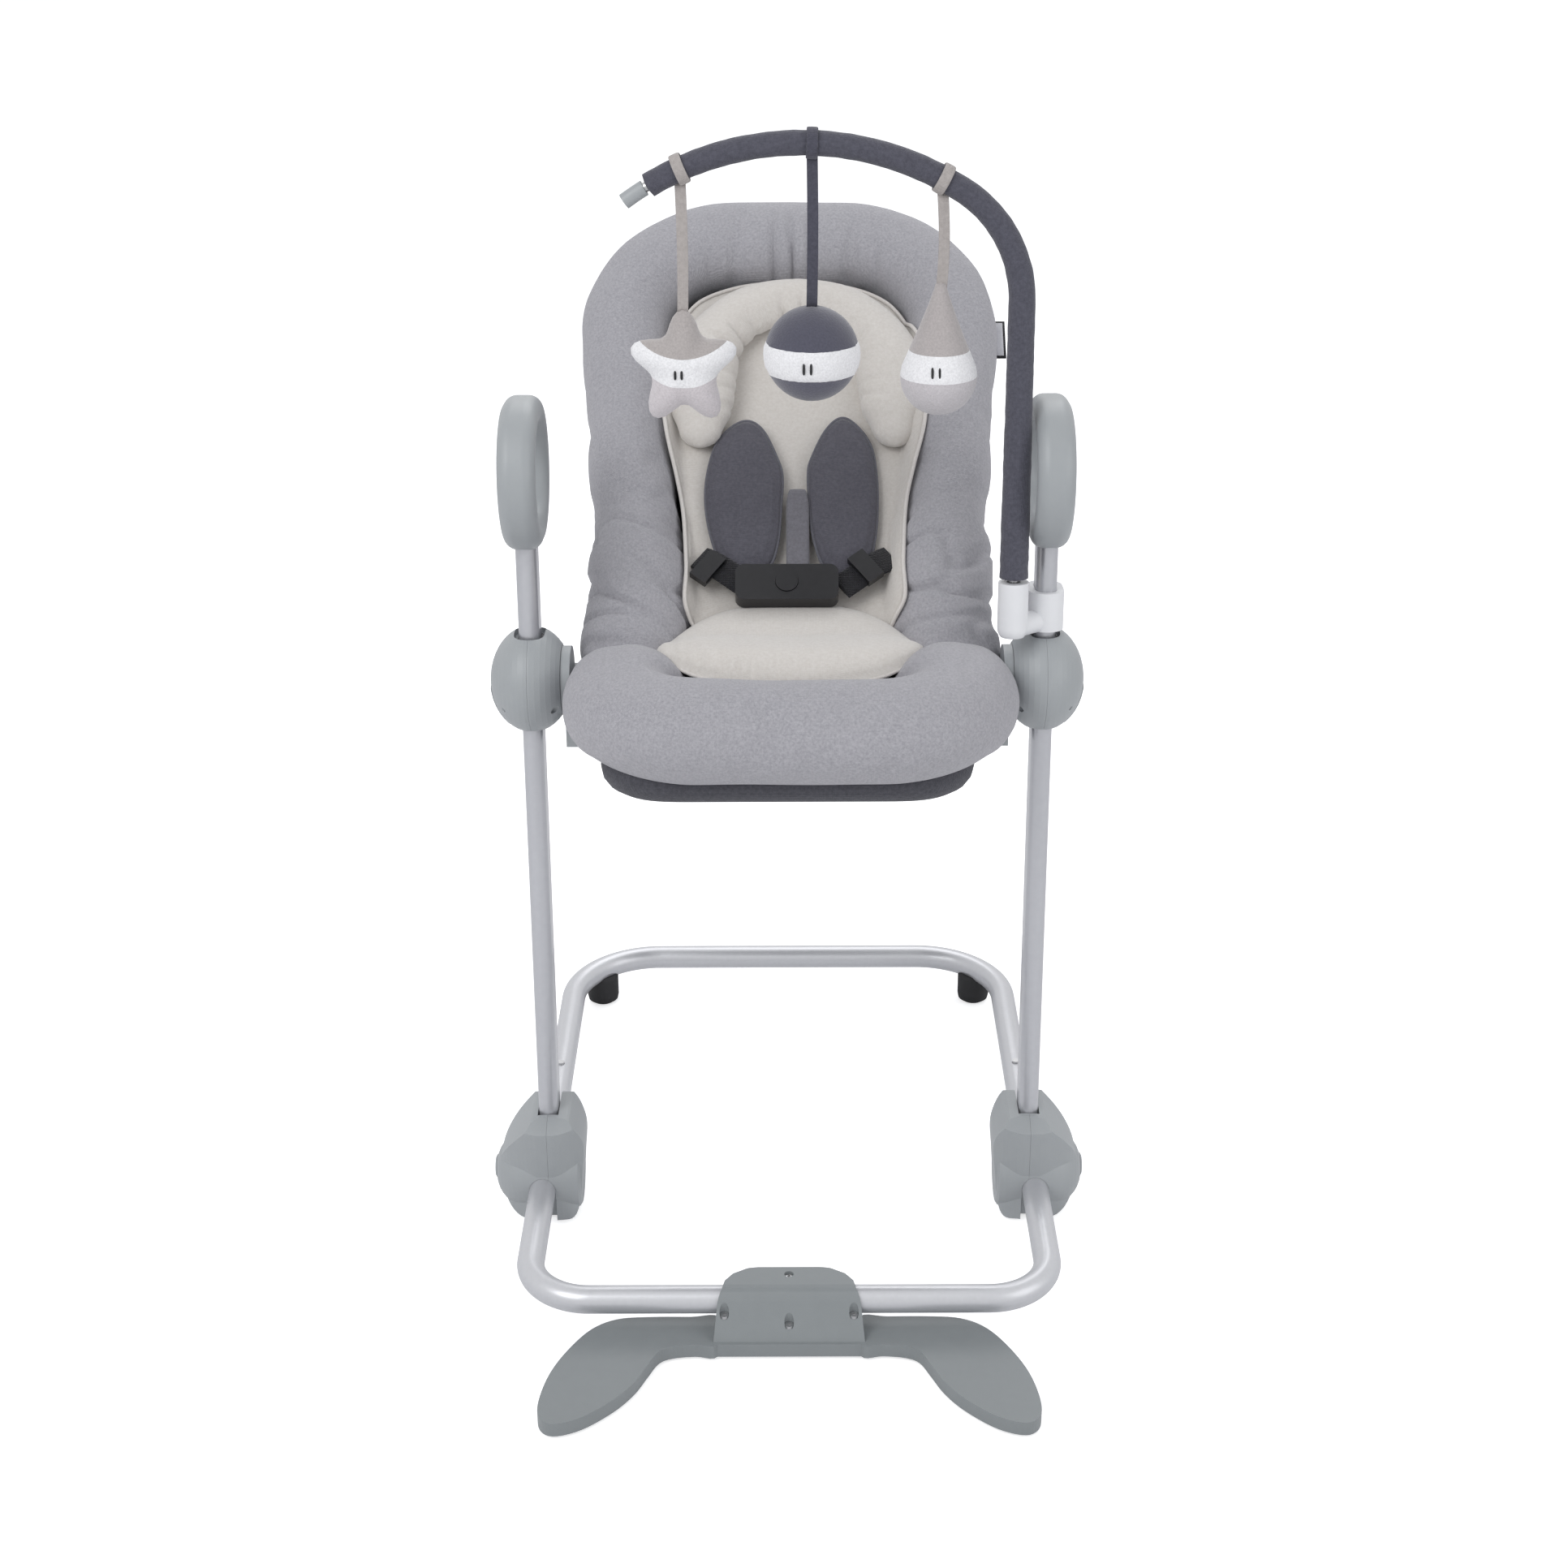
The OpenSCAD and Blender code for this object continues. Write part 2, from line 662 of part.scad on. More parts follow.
module hang(toy, drop = 0) {
    p = arch_c2 + (arch_r2 - sleeve_d / 2 / cos(abs(90 - toy[0]))) * [cos(toy[0]), sin(toy[0])];
    zero = [arch_x, 0, 0];
    s = ball_r + clamp_low;
    y0 = hub_y + (seat_z - base_z) * tan(lean) - arch_front * cos(lean);
    z0 = seat_z + arch_front * sin(lean);
    up = s + 8.3 + p[1];
    translate([arch_x + p[0], y0 + up * sin(lean), z0 + up * cos(lean) - toy_gap - 1.8 - drop]) children();
}

module ribbon(toy) {
    hang(toy, toy[1]) translate([-ribbon_w / 2, -1, 0]) cube([ribbon_w, 2, toy[1]]);
}

star_r = 46;
ball_toy_r = 41;
drop_r = 32;
drop_h = 100;

module ribbon_left() { color(beige) ribbon(toy_left); }
module ribbon_middle() { color(slate) ribbon(toy_middle); }
module ribbon_right() { color(beige) ribbon(toy_right); }

module toy_star() {
    points = [for (k = [0 : 9]) let (r = k % 2 == 0 ? star_r : star_r * 0.62) r * [sin(36 * k), cos(36 * k)]];
    color(beige) hang(toy_left, toy_left[1] + star_r + fit) translate([0, 17, 0]) rotate([90, 0, 0])
        linear_extrude(34) polygon(points);
}

module toy_ball() {
    color(slate) hang(toy_middle, toy_middle[1] + ball_toy_r + fit) sphere(r = ball_toy_r);
}

module toy_drop() {
    tip = drop_h - drop_r;
    a = asin(drop_r / tip);
    color(beige) hang(toy_right, toy_right[1] + tip + fit) rotate_extrude()
        polygon(concat([[0, tip]], [for (t = [a : (-90 - a) / 14 : -90]) drop_r * [cos(t), sin(t)]]));
}

// ---------- seat ----------

// Side profile of the seat, along u: level pan, round knee, straight back.
// u is 0 in the middle of the knee bend.
function pan_knee_y() = 36 - knee_r * tan(back_angle / 2);
knee_half = knee_r * back_angle * PI / 360;
front_u = -knee_half - (pan_knee_y() + pan_reach);
head_u = knee_half + back_len;
ring_z = 3;

function slope(u) = u < -knee_half ? 0 : u > knee_half ? back_angle : (u + knee_half) / knee_r * 180 / PI;
function profile(u) =
    u < -knee_half ? [pan_knee_y() + u + knee_half, ring_z] :
    [pan_knee_y() + knee_r * sin(slope(u)), ring_z + knee_r * (1 - cos(slope(u)))]
        + max(0, u - knee_half) * [cos(back_angle), sin(back_angle)];
function level(u, n) = profile(u) + n * [-sin(slope(u)), cos(slope(u))];

// Half width of the ring's centre line: narrow at the hips, wider towards both ends
function half_w(u) = ring_w + ring_flare * min(1, pow(u > 0 ? u / (head_u - 60) : u / (front_u + 20), 2));

// Moves the child to the seat's recline axis
module seat_frame_of() { translate([0, seat_y, seat_z]) children(); }

// Places the child on the seat surface: local y runs up the seat, z is the surface's normal
module on_seat(u, n = 0, x = 0) {
    p = level(u, n);
    seat_frame_of() translate([x, p[0], p[1]]) rotate([slope(u), 0, 0]) children();
}

front_corner = 88;
head_corner = 128;
end_w = ring_w + ring_flare;
corner_n = 8;

// Closed loop of the ring's centre line in the flat: [x, u]
loop_half = concat(
    [for (k = [0 : 2]) [k * (end_w - front_corner) / 3, front_u]],
    [for (k = [0 : corner_n]) let (a = -90 + k * 90 / corner_n)
        [end_w - front_corner + front_corner * cos(a), front_u + front_corner + front_corner * sin(a)]],
    [for (k = [1 : 13]) [end_w, front_u + front_corner + k * (head_u - head_corner - front_u - front_corner) / 14]],
    [for (k = [0 : corner_n + 2]) let (a = k * 90 / (corner_n + 2))
        [end_w - head_corner + head_corner * cos(a), head_u - head_corner + head_corner * sin(a)]]
);
loop_flat = concat(loop_half, [for (k = [len(loop_half) - 1 : -1 : 1]) [-loop_half[k][0], loop_half[k][1]]]);

// The same loop on the bent seat, with the sides drawn in at the hips, raised by n
function loop_point(q, n) =
    let (squeeze = half_w(q[1]) / end_w, p = level(q[1], n)) [q[0] * squeeze, p[0], p[1]];

// Closed tube along the loop: r across, rn along the surface's normal
module loop_tube(n, r, rn, sides) {
    m = len(loop_flat);
    c = [for (q = loop_flat) loop_point(q, n)];
    points = [for (i = [0 : m - 1])
        let (t = c[(i + 1) % m] - c[(i + m - 1) % m], s = slope(loop_flat[i][1]),
            up = [0, -sin(s), cos(s)], side = cross(t, up) / norm(cross(t, up)))
        for (k = [0 : sides - 1]) c[i] + r * cos(360 * k / sides) * side + rn * sin(360 * k / sides) * up];
    faces = [for (i = [0 : m - 1], k = [0 : sides - 1])
        let (a = i * sides + k, b = i * sides + (k + 1) % sides,
            d = ((i + 1) % m) * sides + k, e = ((i + 1) % m) * sides + (k + 1) % sides)
        each [[a, b, d], [b, e, d]]];
    seat_frame_of() polyhedron(points, faces);
}

frame_n = -ring_r - frame_d / 2 - 1.5;   // the frame tube runs under the padded ring

module seat_frame() { color(silver) loop_tube(frame_n, frame_d / 2, frame_d / 2, 14); }
module seat_ring() { color(heather) loop_tube(0, ring_r, ring_r, 16); }

// Band that follows the side profile from u0 to u1, between normals n0 and n1
module seat_band(u0, u1, n0, n1, w) {
    steps = 14;
    us = [for (k = [0 : steps]) u0 + k * (u1 - u0) / steps];
    outline = concat([for (u = us) level(u, n0)], [for (k = [steps : -1 : 0]) level(us[k], n1)]);
    seat_frame_of() translate([-w / 2, 0, 0]) rotate([90, 0, 90]) linear_extrude(w) polygon(outline);
}

inner_w = 2 * (ring_w - ring_r - 2);
hammock_t = 8;
hammock_n = -29;
pad_n = -19;           // underside of the back pad and the cushion
pad_top = 6;
pad_low = 44;
module seat_hammock() {
    color(dark) seat_band(front_u + ring_r + 8, head_u - ring_r - 28, hammock_n, hammock_n + hammock_t, inner_w);
}

// Quilted back pad: straight sides and a round top that follows the ring's corners
module back_pad() {
    w = inner_w / 2 - 2;
    r = head_corner - ring_r - 3;
    top = head_u - head_corner;
    color(beige) on_seat(pad_low, pad_n) linear_extrude(pad_top - pad_n) {
        translate([-w, 0]) square([2 * w, top - pad_low]);
        for (x = [-1, 1]) translate([x * (w - r), top - pad_low]) circle(r = r);
        translate([-(w - r), top - pad_low]) square([2 * (w - r), r]);
    }
}

cushion_top = 20;
cushion_high = 40;
module seat_cushion() {
    color(beige) seat_band(front_u + ring_r + 12, cushion_high, pad_n, cushion_top, inner_w - 8);
}

// Horseshoe roll round the head, on the back pad
hug_r = 22;
hug_bend = 82;
module head_hugger() {
    color(beige) on_seat(head_u - ring_r - hug_bend - 18, pad_top + hug_r + 0.5) {
        rotate_extrude(angle = 180) translate([hug_bend, 0]) circle(r = hug_r);
        for (s = [-1, 1]) translate([s * hug_bend, 0, 0]) {
            rotate([90, 0, 0]) cylinder(r = hug_r, h = 62);
            translate([0, -62, 0]) sphere(r = hug_r);
        }
    }
}

shoulder_u = 153;
shoulder_len = 164;
shoulder_w = 62;
module shoulder_pad(side) {
    r = shoulder_w / 2;
    color(dark) on_side(side) on_seat(shoulder_u, pad_top + 0.6, 39) {
        translate([-r, -shoulder_len / 2 + r, 0]) cube([shoulder_w, shoulder_len - shoulder_w, 13]);
        for (s = [-1, 1]) translate([0, s * (shoulder_len / 2 - r), 0]) cylinder(r = r, h = 13);
    }
}

crotch_w = 15;
module crotch_cover() {
    color(dark) on_seat(84, pad_top + 0.6) translate([-crotch_w / 2, 0, 0]) cube([crotch_w, 78, 12]);
}

buckle_u = 57;
buckle_w = 92;
buckle_l = 36;
buckle_n = 17;         // bottom of the buckle above the seat surface
buckle_t = 15;
buckle_r = 10;
module buckle_body() {
    color(black) on_seat(buckle_u, buckle_n + 5) difference() {
        union() {
            translate([-buckle_w / 2 + 8, -buckle_l / 2, 0]) cube([buckle_w - 16, buckle_l, buckle_t]);
            translate([-buckle_w / 2, -buckle_l / 2 + 8, 0]) cube([buckle_w, buckle_l - 16, buckle_t]);
            for (x = [-1, 1], y = [-1, 1]) translate([x * (buckle_w / 2 - 8), y * (buckle_l / 2 - 8), 0])
                cylinder(r = 8, h = buckle_t);
        }
        translate([0, 0, buckle_t - 6]) cylinder(r = buckle_r + slip, h = 20);
    }
}

module buckle_button() {
    color(black) on_seat(buckle_u, buckle_n + 5 + buckle_t - 3.5) cylinder(r = buckle_r, h = 4.5);
}

// Waist straps from the buckle up and out to the ring
strap_turn = 38;
strap_w = 25;
module waist_strap_frame() {
    on_seat(buckle_u, buckle_n + 11, buckle_w / 2 + 0.5) rotate([0, 0, strap_turn]) children();
}

module waist_webbing() {
    color(black) both_sides() waist_strap_frame() intersection() {
        translate([-8, -strap_w / 2, 0]) cube([46, strap_w, 2.4]);
        rotate([0, 0, -strap_turn]) translate([0, -40, -10]) cube([80, 80, 40]);
    }
}

module web_sliders() {
    color(black) both_sides() waist_strap_frame() translate([22, -strap_w / 2 - 3, 0]) difference() {
        translate([0, 0, -3]) cube([17, strap_w + 6, 8]);
        translate([-1, 2.6, -fit]) cube([19, strap_w + 0.8, 2.4 + 2 * fit]);
    }
}

module side_tab() {
    p = level(306, 6);
    color(black) seat_frame_of() translate([half_w(306) + ring_r + 0.3, p[0] - 16, p[1]]) cube([1.2, 30, 22]);
}

// Ratchet disc and arm between the ball and the seat frame
disc_r = 29;
disc_in = half_up - ball_flat - slip;
disc_t = 8;
module recline_axles() {
    color(silver) both_sides() seat_frame_of() bar_x(disc_in - disc_t, half_up - bush_x / 2 - 3, axle_r);
}

module seat_arm(side) {
    tube_x = half_w(-20);
    tube = level(-20, frame_n);
    plate_in = ring_w + ring_r + 2;
    color(grey) on_side(side) difference() {
        seat_frame_of() {
            bar_x(disc_in - disc_t, disc_in, disc_r);
            translate([plate_in, tube[0] - 40, tube[1] - 13]) cube([disc_in - plate_in - 2, 54, -tube[1] + 13]);
            translate([tube_x - 13, tube[0] - 14, tube[1] - 13]) cube([plate_in - tube_x + 14, 28, 17]);
        }
        seat_frame_of() bar_x(0, disc_in + 1, axle_r + run);
        loop_tube(frame_n, frame_d / 2 + fit, frame_d / 2 + fit, 14);
    }
}

front_tube();
rear_tube();
rear_spigots();
snap_button(-1);  // snap_button_left
snap_button(1);  // snap_button_right
hub_outer(-1);  // hub_outer_left
hub_inner(-1);  // hub_inner_left
hub_outer(1);  // hub_outer_right
hub_inner(1);  // hub_inner_right
fold_pins();
fold_button(-1);  // fold_button_left
fold_button(1);  // fold_button_right
foot_plate();
foot_clamp();
foot_screws();
front_grip_pads();
rear_feet();
upright(-1);  // upright_left
upright(1);  // upright_right
upright_shoes();
hand_loop(-1);  // hand_loop_left
hand_loop(1);  // hand_loop_right
ball_outer(-1);  // ball_outer_left
ball_inner(-1);  // ball_inner_left
ball_outer(1);  // ball_outer_right
ball_inner(1);  // ball_inner_right
guide_bushes();
ball_screws();
height_lever(-1);  // height_lever_left
height_lever(1);  // height_lever_right
arch_clamp();
recline_axles();
seat_arm(-1);  // seat_arm_left
seat_arm(1);  // seat_arm_right
seat_frame();
seat_ring();
seat_hammock();
back_pad();
seat_cushion();
head_hugger();
shoulder_pad(-1);  // shoulder_pad_left
shoulder_pad(1);  // shoulder_pad_right
crotch_cover();
waist_webbing();
web_sliders();
buckle_body();
buckle_button();
side_tab();
arch_rod();
arch_sleeve();
arch_end_clip();
ribbon_left();
toy_star();
ribbon_middle();
toy_ball();
ribbon_right();
toy_drop();
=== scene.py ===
import json
import math

import bpy
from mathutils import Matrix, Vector, noise


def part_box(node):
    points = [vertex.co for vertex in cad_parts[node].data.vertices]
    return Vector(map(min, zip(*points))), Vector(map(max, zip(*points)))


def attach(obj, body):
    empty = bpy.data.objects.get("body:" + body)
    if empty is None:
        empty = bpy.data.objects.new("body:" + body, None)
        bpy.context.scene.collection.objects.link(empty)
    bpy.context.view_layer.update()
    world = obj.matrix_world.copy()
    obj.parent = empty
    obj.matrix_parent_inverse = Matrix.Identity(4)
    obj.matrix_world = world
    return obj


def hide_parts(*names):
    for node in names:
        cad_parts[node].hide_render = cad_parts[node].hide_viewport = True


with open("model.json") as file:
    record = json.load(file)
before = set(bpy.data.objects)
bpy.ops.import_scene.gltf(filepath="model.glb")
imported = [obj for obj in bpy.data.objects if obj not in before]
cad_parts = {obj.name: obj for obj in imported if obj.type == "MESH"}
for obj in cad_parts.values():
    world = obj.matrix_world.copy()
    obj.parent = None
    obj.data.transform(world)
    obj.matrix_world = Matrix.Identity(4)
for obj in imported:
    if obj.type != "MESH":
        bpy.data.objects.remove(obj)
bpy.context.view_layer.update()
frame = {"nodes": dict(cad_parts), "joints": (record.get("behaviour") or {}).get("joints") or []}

# ---------------------------------------------------------------------------
# Camera, light and floor. A soft studio: one large lamp above the left front,
# one fill lamp on the right, and a white surround that metal can mirror.
# ---------------------------------------------------------------------------
TUBE_R = 0.01225
front_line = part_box("front_tube")[0].y + TUBE_R
CAMERA_BACK = 1.678
CAMERA_HIGH = 1.301
CAMERA_DOWN = math.radians(24.65)
CAMERA_ROLL = math.radians(0.2)

bpy.ops.object.camera_add(location=(0, front_line - CAMERA_BACK, CAMERA_HIGH),
                          rotation=(math.radians(90) - CAMERA_DOWN, CAMERA_ROLL, 0))
camera = bpy.context.object
camera.name = "camera"
camera.data.sensor_width = 36
camera.data.lens = 54.13
bpy.context.scene.camera = camera
bpy.context.scene.view_settings.view_transform = "Standard"


def linear(hex_colour):
    """sRGB hex to a linear colour with alpha."""
    parts = [int(hex_colour[i:i + 2], 16) / 255 for i in (1, 3, 5)]
    return tuple(p / 12.92 if p <= 0.04045 else ((p + 0.055) / 1.055) ** 2.4 for p in parts) + (1.0,)


def add_node(tree, kind, inputs=None, **settings):
    """Adds a node, with its settings, and with values or links for its inputs."""
    made = tree.nodes.new(kind)
    for key, value in settings.items():
        setattr(made, key, value)
    for key, value in (inputs or {}).items():
        if isinstance(value, bpy.types.NodeSocket):
            tree.links.new(value, made.inputs[key])
        else:
            made.inputs[key].default_value = value
    return made


def lamp(name, place, aim, size, watts, colour):
    bpy.ops.object.light_add(type="AREA", location=place)
    made = bpy.context.object
    made.name = name
    made.data.size = size
    made.data.energy = watts
    made.data.color = linear(colour)[:3]
    made.rotation_euler = (Vector(aim) - Vector(place)).to_track_quat("-Z", "Y").to_euler()
    return made


lamp("key_lamp", (-1.5, -1.7, 2.5), (0, 0, 0.5), 1.7, 34, "#ffffff")
lamp("fill_lamp", (2.0, -1.2, 1.5), (0, 0, 0.5), 1.8, 12, "#ffffff")
lamp("back_lamp", (0.2, 1.9, 2.4), (0, 0, 0.6), 1.6, 16, "#ffffff")

world = bpy.data.worlds.new("studio")
bpy.context.scene.world = world
world.use_nodes = True
world.node_tree.nodes.clear()
rays = add_node(world.node_tree, "ShaderNodeLightPath")
seen = add_node(world.node_tree, "ShaderNodeMath",
                {0: rays.outputs["Is Camera Ray"], 1: rays.outputs["Is Glossy Ray"]}, operation="MAXIMUM")
seen = add_node(world.node_tree, "ShaderNodeMath",
                {0: seen.outputs[0], 1: rays.outputs["Is Transmission Ray"]}, operation="MAXIMUM")
soft_sky = add_node(world.node_tree, "ShaderNodeBackground", {"Color": linear("#f4f5f8"), "Strength": 0.62})
white_sky = add_node(world.node_tree, "ShaderNodeBackground", {"Color": (1, 1, 1, 1), "Strength": 1.0})
sky = add_node(world.node_tree, "ShaderNodeMixShader",
               {0: seen.outputs[0], 1: soft_sky.outputs[0], 2: white_sky.outputs[0]})
add_node(world.node_tree, "ShaderNodeOutputWorld", {"Surface": sky.outputs[0]})

bpy.ops.object.select_all(action="DESELECT")
bpy.ops.mesh.primitive_plane_add(size=14, location=(0, 3, -0.0005))
floor = bpy.context.object
floor.name = "studio_floor"
paper = bpy.data.materials.new("white_paper")
paper.use_nodes = True
paper.node_tree.nodes.clear()
matt = add_node(paper.node_tree, "ShaderNodeBsdfDiffuse", {"Color": linear("#f6f6f7")})
glow = add_node(paper.node_tree, "ShaderNodeEmission", {"Color": (1, 1, 1, 1), "Strength": 0.62})
rays = add_node(paper.node_tree, "ShaderNodeLightPath")
white = add_node(paper.node_tree, "ShaderNodeAddShader", {0: matt.outputs[0], 1: glow.outputs[0]})
shown = add_node(paper.node_tree, "ShaderNodeMixShader",
                 {0: rays.outputs["Is Camera Ray"], 1: matt.outputs[0], 2: white.outputs[0]})
add_node(paper.node_tree, "ShaderNodeOutputMaterial", {"Surface": shown.outputs[0]})
floor.data.materials.append(paper)

# ---------------------------------------------------------------------------
# Base tubes, uprights and seat frame: round and flat-oval steel and aluminium
# tube, powder-coated silver. The front and rear tubes plug into the hubs.
# ---------------------------------------------------------------------------


SOCKET_NAMES = {"metallic": "Metallic", "coat": "Coat Weight", "ior": "IOR"}


MIX_A, MIX_B, MIX_OUT = 6, 7, 2        # the colour sockets of a mix node


def two_tone(tree, share, colour, colour_2):
    """Mixes two colours by a share from 0 to 1."""
    made = add_node(tree, "ShaderNodeMix", {"Factor": share}, data_type="RGBA")
    made.inputs[MIX_A].default_value = linear(colour)
    made.inputs[MIX_B].default_value = linear(colour_2)
    return made


def finish(name, colour, colour_2, speck, rough, bump_size, bump, **sockets):
    """A moulded, coated or woven finish: two close colours in specks, with a fine bump.
    speck and bump_size are real sizes in metres."""
    made = bpy.data.materials.new(name)
    made.use_nodes = True
    tree = made.node_tree
    tree.nodes.clear()
    at = add_node(tree, "ShaderNodeTexCoord")
    cloud = add_node(tree, "ShaderNodeTexNoise",
                     {"Vector": at.outputs["Object"], "Scale": 1 / speck, "Detail": 3.0})
    tone = two_tone(tree, cloud.outputs["Fac"], colour, colour_2)
    grit = add_node(tree, "ShaderNodeTexNoise",
                    {"Vector": at.outputs["Object"], "Scale": 1 / bump_size, "Detail": 2.0})
    rise = add_node(tree, "ShaderNodeBump",
                    {"Height": grit.outputs["Fac"], "Strength": bump, "Distance": 0.0004})
    satin = add_node(tree, "ShaderNodeMapRange",
                     {"Value": cloud.outputs["Fac"], "To Min": rough - 0.04, "To Max": rough + 0.04})
    shader = add_node(tree, "ShaderNodeBsdfPrincipled",
                      {"Base Color": tone.outputs[MIX_OUT], "Normal": rise.outputs[0],
                       "Roughness": satin.outputs[0]})
    for key, value in sockets.items():
        shader.inputs[SOCKET_NAMES[key]].default_value = value
    add_node(tree, "ShaderNodeOutputMaterial", {"Surface": shader.outputs[0]})
    return made


def paint(nodes, material):
    """Gives carried-over pieces their finish."""
    for name in nodes:
        piece = frame["nodes"][name]
        piece.data.materials.clear()
        piece.data.materials.append(material)


# Powder coat on steel: silver grey, a soft wide highlight and a faint orange peel.
powder_coat = finish("powder_coat", "#c3c4c8", "#cbccd0", 0.004, 0.34, 0.0012, 0.10, metallic=0.45, coat=0.15)
paint(["front_tube", "rear_tube"], powder_coat)
# Anodised aluminium: a little darker, with a tighter highlight down its length.
anodised = finish("anodised_aluminium", "#bcbdc2", "#c4c5c9", 0.006, 0.30, 0.0008, 0.05, metallic=0.6)
paint(["upright_left", "upright_right", "seat_frame"], anodised)
# Zinc-plated steel: screws, pins, spigots and the arch's rod.
zinc = finish("zinc_plate", "#b4b5b8", "#c2c2c2", 0.003, 0.3, 0.0006, 0.08, metallic=0.9)
paint(["rear_spigots", "fold_pins", "foot_screws", "ball_screws", "recline_axles", "arch_rod",
       "snap_button_left", "snap_button_right"], zinc)

# ---------------------------------------------------------------------------
# Moulded plastic: hubs, balls, hand loops, levers and the foot plate are grey
# polypropylene with a spark-eroded satin surface; the arch's clamp is white.
# ---------------------------------------------------------------------------
# Grey polypropylene, spark-eroded satin.
grey_plastic = finish("grey_polypropylene", "#9ea2a5", "#a3a7a9", 0.012, 0.42, 0.0007, 0.22, ior=1.49)
paint(["hub_outer_left", "hub_inner_left", "hub_outer_right", "hub_inner_right", "fold_button_left",
       "fold_button_right", "hand_loop_left", "hand_loop_right", "ball_outer_left", "ball_inner_left",
       "ball_outer_right", "ball_inner_right", "height_lever_left", "height_lever_right",
       "seat_arm_left", "seat_arm_right", "arch_end_clip"], grey_plastic)
# The same for the foot plate, a shade darker.
plate_plastic = finish("foot_plate_polypropylene", "#858a8c", "#8b9092", 0.012, 0.42, 0.0007, 0.22, ior=1.49)
paint(["foot_plate", "foot_clamp"], plate_plastic)
# White polypropylene, a little smoother.
white_plastic = finish("white_polypropylene", "#e9eaec", "#e4e5e8", 0.012, 0.36, 0.0007, 0.12, ior=1.49)
paint(["arch_clamp"], white_plastic)
# Dark nylon, which slides well: shoes and guide bushes.
dark_plastic = finish("dark_nylon", "#46484c", "#3f4145", 0.008, 0.45, 0.0007, 0.2, ior=1.53)
paint(["upright_shoes", "guide_bushes"], dark_plastic)
# Black acetal: the buckle and its sliders.
black_plastic = finish("black_acetal", "#1b1b1e", "#202023", 0.006, 0.34, 0.0006, 0.15, ior=1.48)
paint(["web_sliders", "buckle_body", "buckle_button"], black_plastic)
# Black rubber, dull and slightly open-grained: feet and grip pads.
rubber = finish("black_rubber", "#1a1a1c", "#242426", 0.004, 0.72, 0.0008, 0.4, ior=1.5)
paint(["rear_feet", "front_grip_pads"], rubber)

# ---------------------------------------------------------------------------
# Padded ring: a stuffed roll of heather jersey sewn into a long loop, which lies
# on the seat's tube frame. It is thick at the knees, and gathered at the head.
# ---------------------------------------------------------------------------
hinge = Vector(next(j["pos_m"] for j in frame["joints"] if j["name"] == "recline"))
BACK_ANGLE = math.radians(40)
KNEE_R = 0.120
SURFACE_Z = 0.003
FRONT_U = -0.152       # the roll's centre line at the knees
HEAD_U = 0.450         # and at the head
FRONT_CORNER = 0.080
HEAD_CORNER = 0.100
END_W = 0.155
RING_X = 0.003
knee_half = KNEE_R * BACK_ANGLE / 2
knee_y = 0.036 - KNEE_R * math.tan(BACK_ANGLE / 2)


def slope(u):
    return min(max((u + knee_half) / KNEE_R, 0), BACK_ANGLE)


def seat_point(x, u, n):
    """A point on the bent seat: x across, u up along the surface, n above it."""
    s = slope(u)
    y, z = knee_y + KNEE_R * math.sin(s), SURFACE_Z + KNEE_R * (1 - math.cos(s))
    if u < -knee_half:
        y, z = knee_y + u + knee_half, SURFACE_Z
    if u > knee_half:
        y, z = y + (u - knee_half) * math.cos(s), z + (u - knee_half) * math.sin(s)
    return hinge + Vector((x, y - n * math.sin(s), z + n * math.cos(s)))


def seat_place(co):
    """The x, u and n of a point near the seat's surface."""
    x, y, z = co - hinge
    turn = math.atan2(y - knee_y, SURFACE_Z + KNEE_R - z)
    if turn < 0:
        return x, y - knee_y - knee_half, z - SURFACE_Z
    if turn > BACK_ANGLE:
        y -= knee_y + KNEE_R * math.sin(BACK_ANGLE)
        z -= SURFACE_Z + KNEE_R * (1 - math.cos(BACK_ANGLE))
        c, s = math.cos(BACK_ANGLE), math.sin(BACK_ANGLE)
        return x, knee_half + y * c + z * s, z * c - y * s
    return x, turn * KNEE_R - knee_half, KNEE_R - math.hypot(y - knee_y, SURFACE_Z + KNEE_R - z)


def steps(value, table):
    """Smooth run through (place, size) pairs."""
    if value <= table[0][0]:
        return table[0][1]
    for (p0, s0), (p1, s1) in zip(table, table[1:]):
        if value <= p1:
            k = (value - p0) / (p1 - p0)
            return s0 + (s1 - s0) * k * k * (3 - 2 * k)
    return table[-1][1]


def half_w(u):
    """Half width of the ring's centre line: narrow at the hips."""
    return steps(u, [(-0.12, 0.155), (0.0, 0.138), (0.05, 0.133), (0.12, 0.137), (0.22, 0.146),
                     (0.33, 0.153)])


def ring_r(u):
    """Radius of the roll: fullest at the hips."""
    return steps(u, [(-0.13, 0.043), (-0.04, 0.043), (0.04, 0.048), (0.08, 0.048), (0.16, 0.042),
                     (0.30, 0.042), (0.45, 0.043)])


